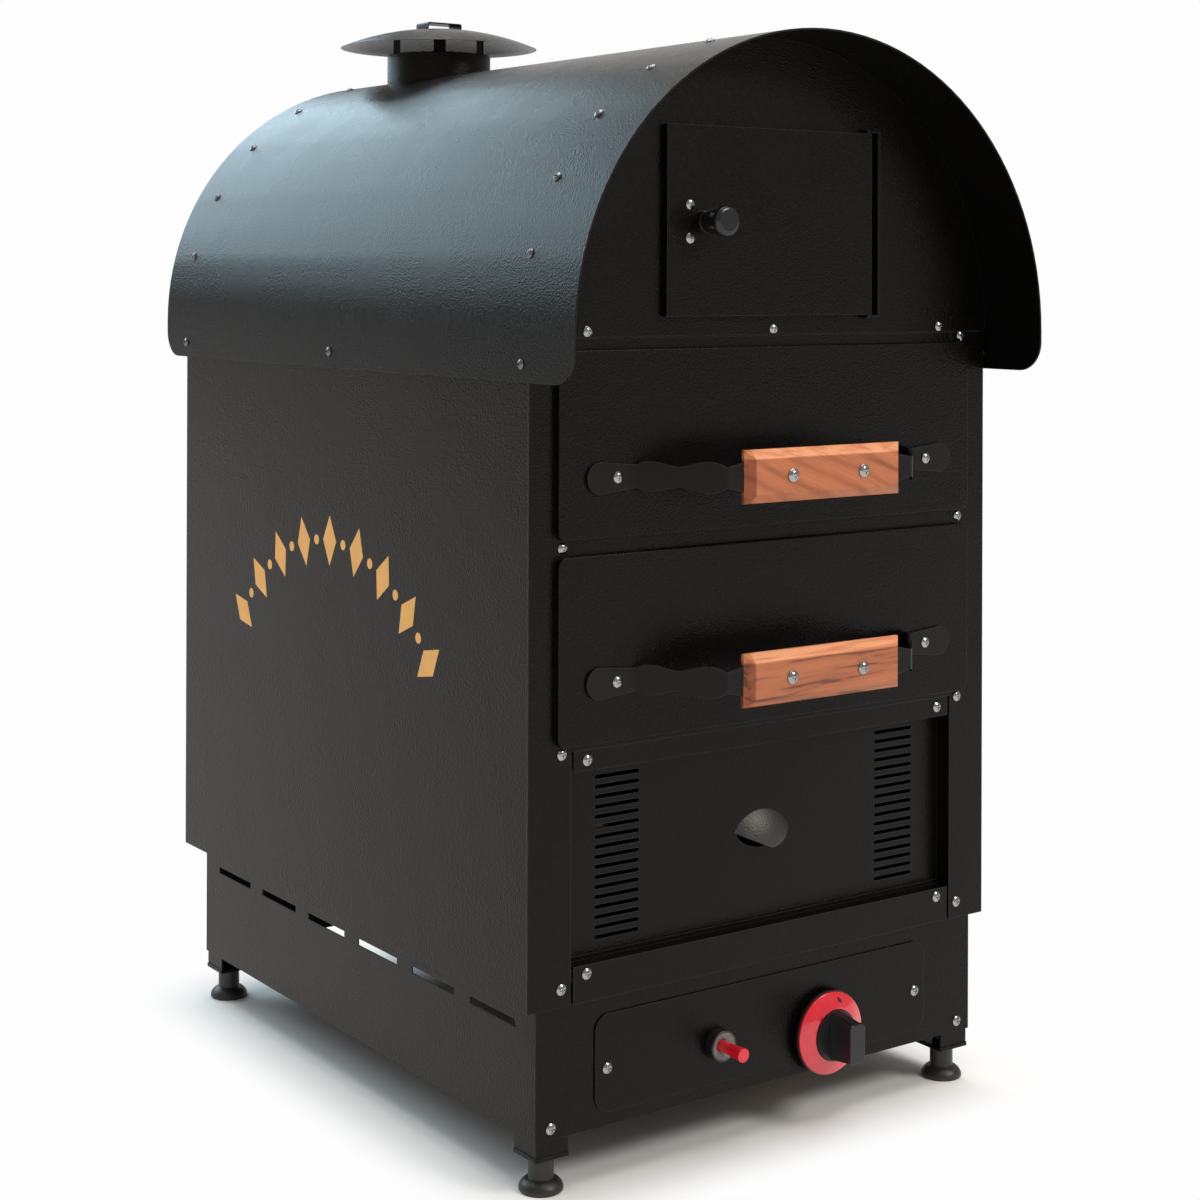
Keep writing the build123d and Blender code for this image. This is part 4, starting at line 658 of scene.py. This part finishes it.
# ------------------------------------------------------------------ pieces
class OVEN_OT_sheets(bpy.types.Operator):
    """Round the edges of the coated sheets and give them their coat"""
    bl_idname = "oven.sheets"
    bl_label = "Coated Sheets"

    def execute(self, context):
        coat = coat_finish()
        # The side sheets take a copy of the coat with a warmer reflection tint: painted warm reflection for
        # the light that falls on the sides.
        side = coat_finish("side_coat", sheen=(0.96, 0.77, 0.62))
        for node in OUTER_SHEETS:
            dressed_node(node, side if node in SIDE_SHEETS else coat, settings().coat.edge_radius,
                         shape=open_scoop if node == "louvre_panel" else None)
        self.polish_scoop(bpy.data.objects["louvre_panel_finished"])
        smooth = coat_finish("strap_coat", grain_share=0.12, roughness=0.3, gloss=0.26)
        for drawer in DRAWERS:
            dressed_node(drawer + "_handle_strap", smooth, 0.7 * MM, segments=3)
        return {"FINISHED"}

    def polish_scoop(self, panel):
        """Gives the raised finger scoop the smoother, glossier coat that handling leaves."""
        panel.data.materials.append(coat_finish("scoop_coat", grain_share=0.8, roughness=0.48, gloss=1.0))
        raised = panel_face() - 0.3 * MM
        for polygon in panel.data.polygons:
            if polygon.center.y < raised and abs(polygon.center.x) < 30 * MM:
                polygon.material_index = 1


class OVEN_OT_roof(bpy.types.Operator):
    """Finish the arched roof, the chimney and the rain cap"""
    bl_idname = "oven.roof"
    bl_label = "Roof and Chimney"

    def execute(self, context):
        coat = coat_finish("roof_coat")
        for node in ("roof_shell", "flue_collar", "cap_dome", "cap_legs", "cap_handle"):
            dressed_node(node, coat, settings().coat.edge_radius)
        return {"FINISHED"}


class OVEN_OT_screws(bpy.types.Operator):
    """Finish the pan-head screws"""
    bl_idname = "oven.screws"
    bl_label = "Screws"

    def execute(self, context):
        bright = steel_finish("bright_screw_steel", (0.44, 0.42, 0.4), 0.16)
        dark = steel_finish("dark_screw_steel", (0.2, 0.2, 0.21), 0.3)
        for node in SCREW_GROUPS:
            dressed_node(node, dark if node == "roof_screws" else bright, 0.12 * MM, segments=1,
                         sharp=35.0, shape=None if node == "roof_screws" else broaden_front_heads)
        return {"FINISHED"}


class OVEN_OT_grips(bpy.types.Operator):
    """Round and finish the wooden grips"""
    bl_idname = "oven.grips"
    bl_label = "Wooden Grips"

    def execute(self, context):
        upper = wood_finish("upper_grip_wood", "upper_wood_grip", (0.31, 0.02, 0.045),
                            math.radians(-22), 0.45, 0.8)
        lower = wood_finish("lower_grip_wood", "lower_wood_grip", (0.05, 0.13, 0.36),
                            math.radians(2), 1.0, 0.3)
        dressed_node("upper_wood_grip", upper, settings().wood.edge_radius, segments=3)
        dressed_node("lower_wood_grip", lower, settings().wood.edge_radius, segments=3)
        return {"FINISHED"}


class OVEN_OT_door_knob(bpy.types.Operator):
    """Finish the warming door's knob"""
    bl_idname = "oven.door_knob"
    bl_label = "Door Knob"

    def execute(self, context):
        black = plastic_finish("door_knob_black", tuple(settings().controls.black), 0.2, grain=0.01 * MM)
        dressed_node("door_knob", black, 0.8 * MM, segments=3)
        return {"FINISHED"}


class OVEN_OT_gas_knob(bpy.types.Operator):
    """Finish the gas knob and its red ring"""
    bl_idname = "oven.gas_knob"
    bl_label = "Gas Knob"

    def execute(self, context):
        own = settings().controls
        black = plastic_finish("gas_knob_black", tuple(own.black), 0.36, grain=0.03 * MM)
        red = plastic_finish("gas_knob_red", tuple(own.red), 0.2, grain=0.004 * MM, coat=1.0)
        dressed_node("knob_grip", black, 1.4 * MM, segments=4, shape=widen_knob_bar)
        skirt = dressed_node("knob_skirt", red, 0.5 * MM, segments=3)
        self.pointer_mark(skirt, black)
        dressed_node("valve_spindle", steel_finish("spindle_steel"), 0.3 * MM)
        return {"FINISHED"}

    def pointer_mark(self, skirt, material):
        """Sets a small oval mark into the face of the red ring, near its top."""
        low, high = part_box("knob_skirt")
        middle = (low + high) / 2
        over = Vector((middle.x + POINTER_RADIUS * math.sin(POINTER_TURN), low.y - 20 * MM,
                       middle.z + POINTER_RADIUS * math.cos(POINTER_TURN)))
        hit, place, normal, _ = skirt.ray_cast(over, (0.0, 1.0, 0.0))
        if not hit:
            raise RuntimeError("the mark misses the red ring")
        deselect()
        bpy.ops.mesh.primitive_circle_add(vertices=24, radius=1.0, fill_type="NGON")
        mark = bpy.context.object
        mark.name = "knob_pointer_mark"
        draw_out(mark, (0.0, 0.0, 1.0))
        lean = Matrix.Rotation(POINTER_LEAN, 4, "Z")
        size = Matrix.Diagonal((*POINTER_SIZE, 1.0))
        facing = normal.to_track_quat("Z", "Y").to_matrix().to_4x4()
        mark.matrix_world = Matrix.Translation(place - normal * 0.25 * MM) @ facing @ lean @ size
        settle(mark)
        rim = mark.modifiers.new("rounded rim", "BEVEL")
        rim.width = 0.12 * MM
        rim.segments = 2
        apply_modifiers(mark)
        give(mark, material)
        belongs(mark, body_of_node("knob_skirt"))


class OVEN_OT_igniter(bpy.types.Operator):
    """Finish the igniter's bezel and its red button"""
    bl_idname = "oven.igniter"
    bl_label = "Igniter"

    def execute(self, context):
        own = settings().controls
        black = plastic_finish("igniter_black", tuple(own.black), 0.34, grain=0.02 * MM)
        red = plastic_finish("button_red", tuple(own.red), 0.24, grain=0.01 * MM, coat=0.4)
        bezel = dressed_node("igniter_body", black, 0.6 * MM, segments=3)
        dressed_node("igniter_button", red, 0.5 * MM, segments=3, shape=flare_button)
        dish = plastic_finish("igniter_dish_grey", (0.2, 0.2, 0.197), 0.28, grain=0.01 * MM)
        bezel.data.materials.append(dish)
        low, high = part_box("igniter_button")
        middle, face = (low + high) / 2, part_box("igniter_body")[0].y
        for polygon in bezel.data.polygons:
            offset = polygon.center - middle
            if math.hypot(offset.x, offset.z) < 11.3 * MM and polygon.center.y > face + 0.4 * MM:
                polygon.material_index = 1
        return {"FINISHED"}


class OVEN_OT_feet(bpy.types.Operator):
    """Finish the levelling feet"""
    bl_idname = "oven.feet"
    bl_label = "Levelling Feet"

    def execute(self, context):
        coat = plastic_finish("foot_black", (0.022, 0.021, 0.02), 0.4, grain=0.05 * MM)
        for node in FEET:
            dressed_node(node, coat, 0.5 * MM, segments=3)
        return {"FINISHED"}


class OVEN_OT_inside(bpy.types.Operator):
    """Finish the liner, trays, burner and gas train"""
    bl_idname = "oven.inside"
    bl_label = "Inside"

    def execute(self, context):
        stainless = steel_finish("stainless_sheet", (0.56, 0.55, 0.53), 0.32, brushed=(4.0, 300.0, 300.0))
        brass = steel_finish("valve_brass", (0.72, 0.5, 0.2), 0.3)
        copper = steel_finish("gas_copper", (0.75, 0.38, 0.22), 0.3)
        # The deck, liner, runners and deflector take a near-black steel: painted shade, so that the inside
        # seen through the louvre slots stays dark.
        dark = steel_finish("heat_darkened_steel", (0.035, 0.032, 0.03), 0.5)
        for node in INNER_SHEETS:
            dressed_node(node, dark if node in SHADE_DARK_SHEETS else stainless, 0.3 * MM, segments=1)
        for node in BRASS_PIECES:
            dressed_node(node, brass, 0.5 * MM)
        for node in COPPER_PIECES:
            dressed_node(node, copper, 0.3 * MM, segments=1)
        wool = fibre_finish("mineral_wool", (0.55, 0.48, 0.3))
        dressed_node("insulation", wool, 3.0 * MM)
        ceramic = plastic_finish("electrode_ceramic", (0.8, 0.78, 0.72), 0.25, coat=0.5)
        dressed_node("spark_electrode", ceramic, 0.3 * MM, segments=1)
        sleeve = plastic_finish("lead_sleeve", (0.6, 0.55, 0.48), 0.6)
        dressed_node("igniter_lead", sleeve, 0.3 * MM, segments=1)
        catch = plastic_finish("catch_black", (0.03, 0.03, 0.03), 0.45)
        dressed_node("door_catch", catch, 0.6 * MM)
        return {"FINISHED"}


class OVEN_OT_ornament(bpy.types.Operator):
    """Paint an arched row of plain lozenges and dots on the left side"""
    bl_idname = "oven.ornament"
    bl_label = "Side Ornament"

    def execute(self, context):
        own = settings().ornament
        low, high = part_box("side_panels")
        middle = Vector((low.x, (low.y + high.y) / 2 + ARCH_CENTRE_BACK, ARCH_CENTRE_HEIGHT))
        upright = Matrix.Rotation(math.radians(-90), 4, "Z") @ Matrix.Rotation(math.radians(90), 4, "X")
        arm = Matrix.Translation((0, 0, own.radius))
        lozenge, dot = (4, LOZENGE_WIDE, LOZENGE_TALL), (20, DOT_WIDTH, DOT_WIDTH)
        steps = 2 * own.count - 1
        deselect()
        marks = []
        for index in range(steps):
            angle = own.spread * (index / (steps - 1) - 0.5)
            corners, wide, tall = lozenge if index % 2 == 0 else dot
            bpy.ops.mesh.primitive_circle_add(vertices=corners, radius=0.5, fill_type="NGON")
            mark = bpy.context.object
            swing = Matrix.Rotation(angle, 4, "X")
            size = Matrix.Diagonal((wide, tall, 1.0, 1.0))
            mark.matrix_world = Matrix.Translation(middle) @ swing @ arm @ upright @ size
            settle(mark)
            marks.append(mark)
        deselect()
        for mark in marks:
            mark.select_set(True)
        context.view_layer.objects.active = marks[0]
        bpy.ops.object.join()
        piece = context.object
        piece.name = "side_ornament"
        solid = piece.modifiers.new("paint", "SOLIDIFY")
        solid.thickness = PAINT_THICKNESS
        solid.offset = 0.0
        apply_modifiers(piece)
        settle(piece)
        give(piece, paint_finish("ornament_paint", tuple(own.colour)))
        belongs(piece, "cabinet")
        return {"FINISHED"}


class OVEN_OT_stage(bpy.types.Operator):
    """Build the pale floor, the soft lamps and the camera"""
    bl_idname = "oven.stage"
    bl_label = "Stage"

    def execute(self, context):
        own = settings().stage
        self.floor(own)
        self.surround(context, own)
        for name, place, aim, size, colour in LAMPS:
            self.lamp(name, place, aim, size, getattr(own, name), colour)
        self.camera(context, own)
        context.scene.view_settings.view_transform = "Standard"
        return {"FINISHED"}

    def floor(self, own):
        deselect()
        bpy.ops.mesh.primitive_plane_add(size=30.0, location=(0, 0, 0))
        floor = bpy.context.object
        floor.name = "floor"
        finish = Finish("floor_white")
        finish.plug("Base Color", tuple(own.floor))
        finish.plug("Roughness", 0.9)
        finish.plug("Specular IOR Level", 0.1)
        low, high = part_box("base_side_panels")
        middle = ((low.x + high.x) / 2, (low.y + high.y) / 2, 0.0)
        half = ((high.x - low.x) / 2, (high.y - low.y) / 2, 0.0)
        offset = finish.arrow("SUBTRACT", finish.coordinates, middle)
        offset = finish.arrow("SUBTRACT", finish.arrow("ABSOLUTE", offset), half)
        offset = finish.arrow("MAXIMUM", offset, (0, 0, 0))
        distance = finish.arrow("LENGTH", offset, output="Value")
        far = finish.node("ShaderNodeMapRange", {"Value": distance, "From Min": 0.0,
                                                 "From Max": own.shadow_reach, "To Min": 0.06},
                          interpolation_type="SMOOTHSTEP").outputs["Result"]
        path = finish.node("ShaderNodeLightPath")
        seen = finish.number("MAXIMUM", path.outputs["Is Camera Ray"], path.outputs["Is Glossy Ray"])
        seen = finish.number("MAXIMUM", seen, path.outputs["Is Transmission Ray"])
        past = finish.number("GREATER_THAN", distance, 3 * MM)
        share = finish.number("MULTIPLY", seen, finish.number("MULTIPLY", far, past))
        white = finish.node("ShaderNodeEmission", {"Color": BACKDROP_WHITE, "Strength": 1.0})
        mix = finish.node("ShaderNodeMixShader", {"Fac": share, 1: finish.shader.outputs[0],
                                                  2: white.outputs[0]})
        finish.tree.links.new(mix.outputs[0], finish.tree.nodes["Material Output"].inputs["Surface"])
        give(floor, finish.material)

    def surround(self, context, own):
        world = bpy.data.worlds.new("studio")
        context.scene.world = world
        world.use_nodes = True
        tree = world.node_tree
        tree.nodes.clear()
        path = tree.nodes.new("ShaderNodeLightPath")
        seen = tree.nodes.new("ShaderNodeBackground")
        seen.inputs["Color"].default_value = BACKDROP_WHITE
        seen.inputs["Strength"].default_value = 1.0
        light = tree.nodes.new("ShaderNodeBackground")
        light.inputs["Color"].default_value = SURROUND_COLOUR
        light.inputs["Strength"].default_value = own.surround
        mix = tree.nodes.new("ShaderNodeMixShader")
        output = tree.nodes.new("ShaderNodeOutputWorld")
        tree.links.new(path.outputs["Is Camera Ray"], mix.inputs["Fac"])
        tree.links.new(light.outputs[0], mix.inputs[1])
        tree.links.new(seen.outputs[0], mix.inputs[2])
        tree.links.new(mix.outputs[0], output.inputs["Surface"])

    def lamp(self, name, place, aim, size, power, colour):
        data = bpy.data.lights.new(name, "AREA")
        data.shape = "RECTANGLE"
        data.size, data.size_y = size
        data.energy = power
        data.color = colour
        lamp = bpy.data.objects.new(name, data)
        bpy.context.scene.collection.objects.link(lamp)
        lamp.location = place
        lamp.rotation_euler = (Vector(aim) - Vector(place)).to_track_quat("-Z", "Y").to_euler()
        lamp.visible_camera = False

    def camera(self, context, own):
        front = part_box("front_frame")[0].y
        data = bpy.data.cameras.new("camera")
        data.sensor_width = 36.0
        data.lens = own.lens
        data.shift_y = own.drop
        data.clip_end = 100.0
        camera = bpy.data.objects.new("camera", data)
        context.scene.collection.objects.link(camera)
        camera.matrix_world = (Matrix.Translation((-CAMERA_LEFT, front - CAMERA_AHEAD, CAMERA_HEIGHT))
                               @ Matrix.Rotation(-own.yaw, 4, "Z")
                               @ Matrix.Rotation(math.pi / 2 + own.pitch, 4, "X")
                               @ Matrix.Rotation(own.roll, 4, "Z"))
        context.scene.camera = camera


class OVEN_PT_panel(bpy.types.Panel):
    """Lists the oven's pieces and settings"""
    bl_idname = "OVEN_PT_panel"
    bl_label = "Potato Oven"
    bl_space_type = "VIEW_3D"
    bl_region_type = "UI"
    bl_category = "Oven"

    def draw(self, context):
        own = settings()
        for group in (own.coat, own.wood, own.controls, own.ornament, own.stage):
            box = self.layout.box()
            box.label(text=group.__class__.__doc__)
            for name in group.__annotations__:
                box.prop(group, name)
        for step in PIECE_OPERATORS:
            self.layout.operator(step.bl_idname)


SETTING_GROUPS = (OvenCoatSettings, OvenWoodSettings, OvenControlSettings, OvenOrnamentSettings,
                  OvenStageSettings, OvenSettings)
PIECE_OPERATORS = (OVEN_OT_stage, OVEN_OT_sheets, OVEN_OT_roof, OVEN_OT_screws, OVEN_OT_grips,
                   OVEN_OT_door_knob, OVEN_OT_gas_knob, OVEN_OT_igniter, OVEN_OT_feet, OVEN_OT_inside,
                   OVEN_OT_ornament)


def register():
    for item in (*SETTING_GROUPS, *PIECE_OPERATORS, OVEN_PT_panel):
        bpy.utils.register_class(item)
    bpy.types.Scene.oven = PointerProperty(type=OvenSettings)


def unregister():
    del bpy.types.Scene.oven
    for item in reversed((*SETTING_GROUPS, *PIECE_OPERATORS, OVEN_PT_panel)):
        bpy.utils.unregister_class(item)


def main():
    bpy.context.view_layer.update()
    register()
    for step in PIECE_OPERATORS:
        space, verb = step.bl_idname.split(".")
        getattr(getattr(bpy.ops, space), verb)()


if __name__ == "__main__":
    main()
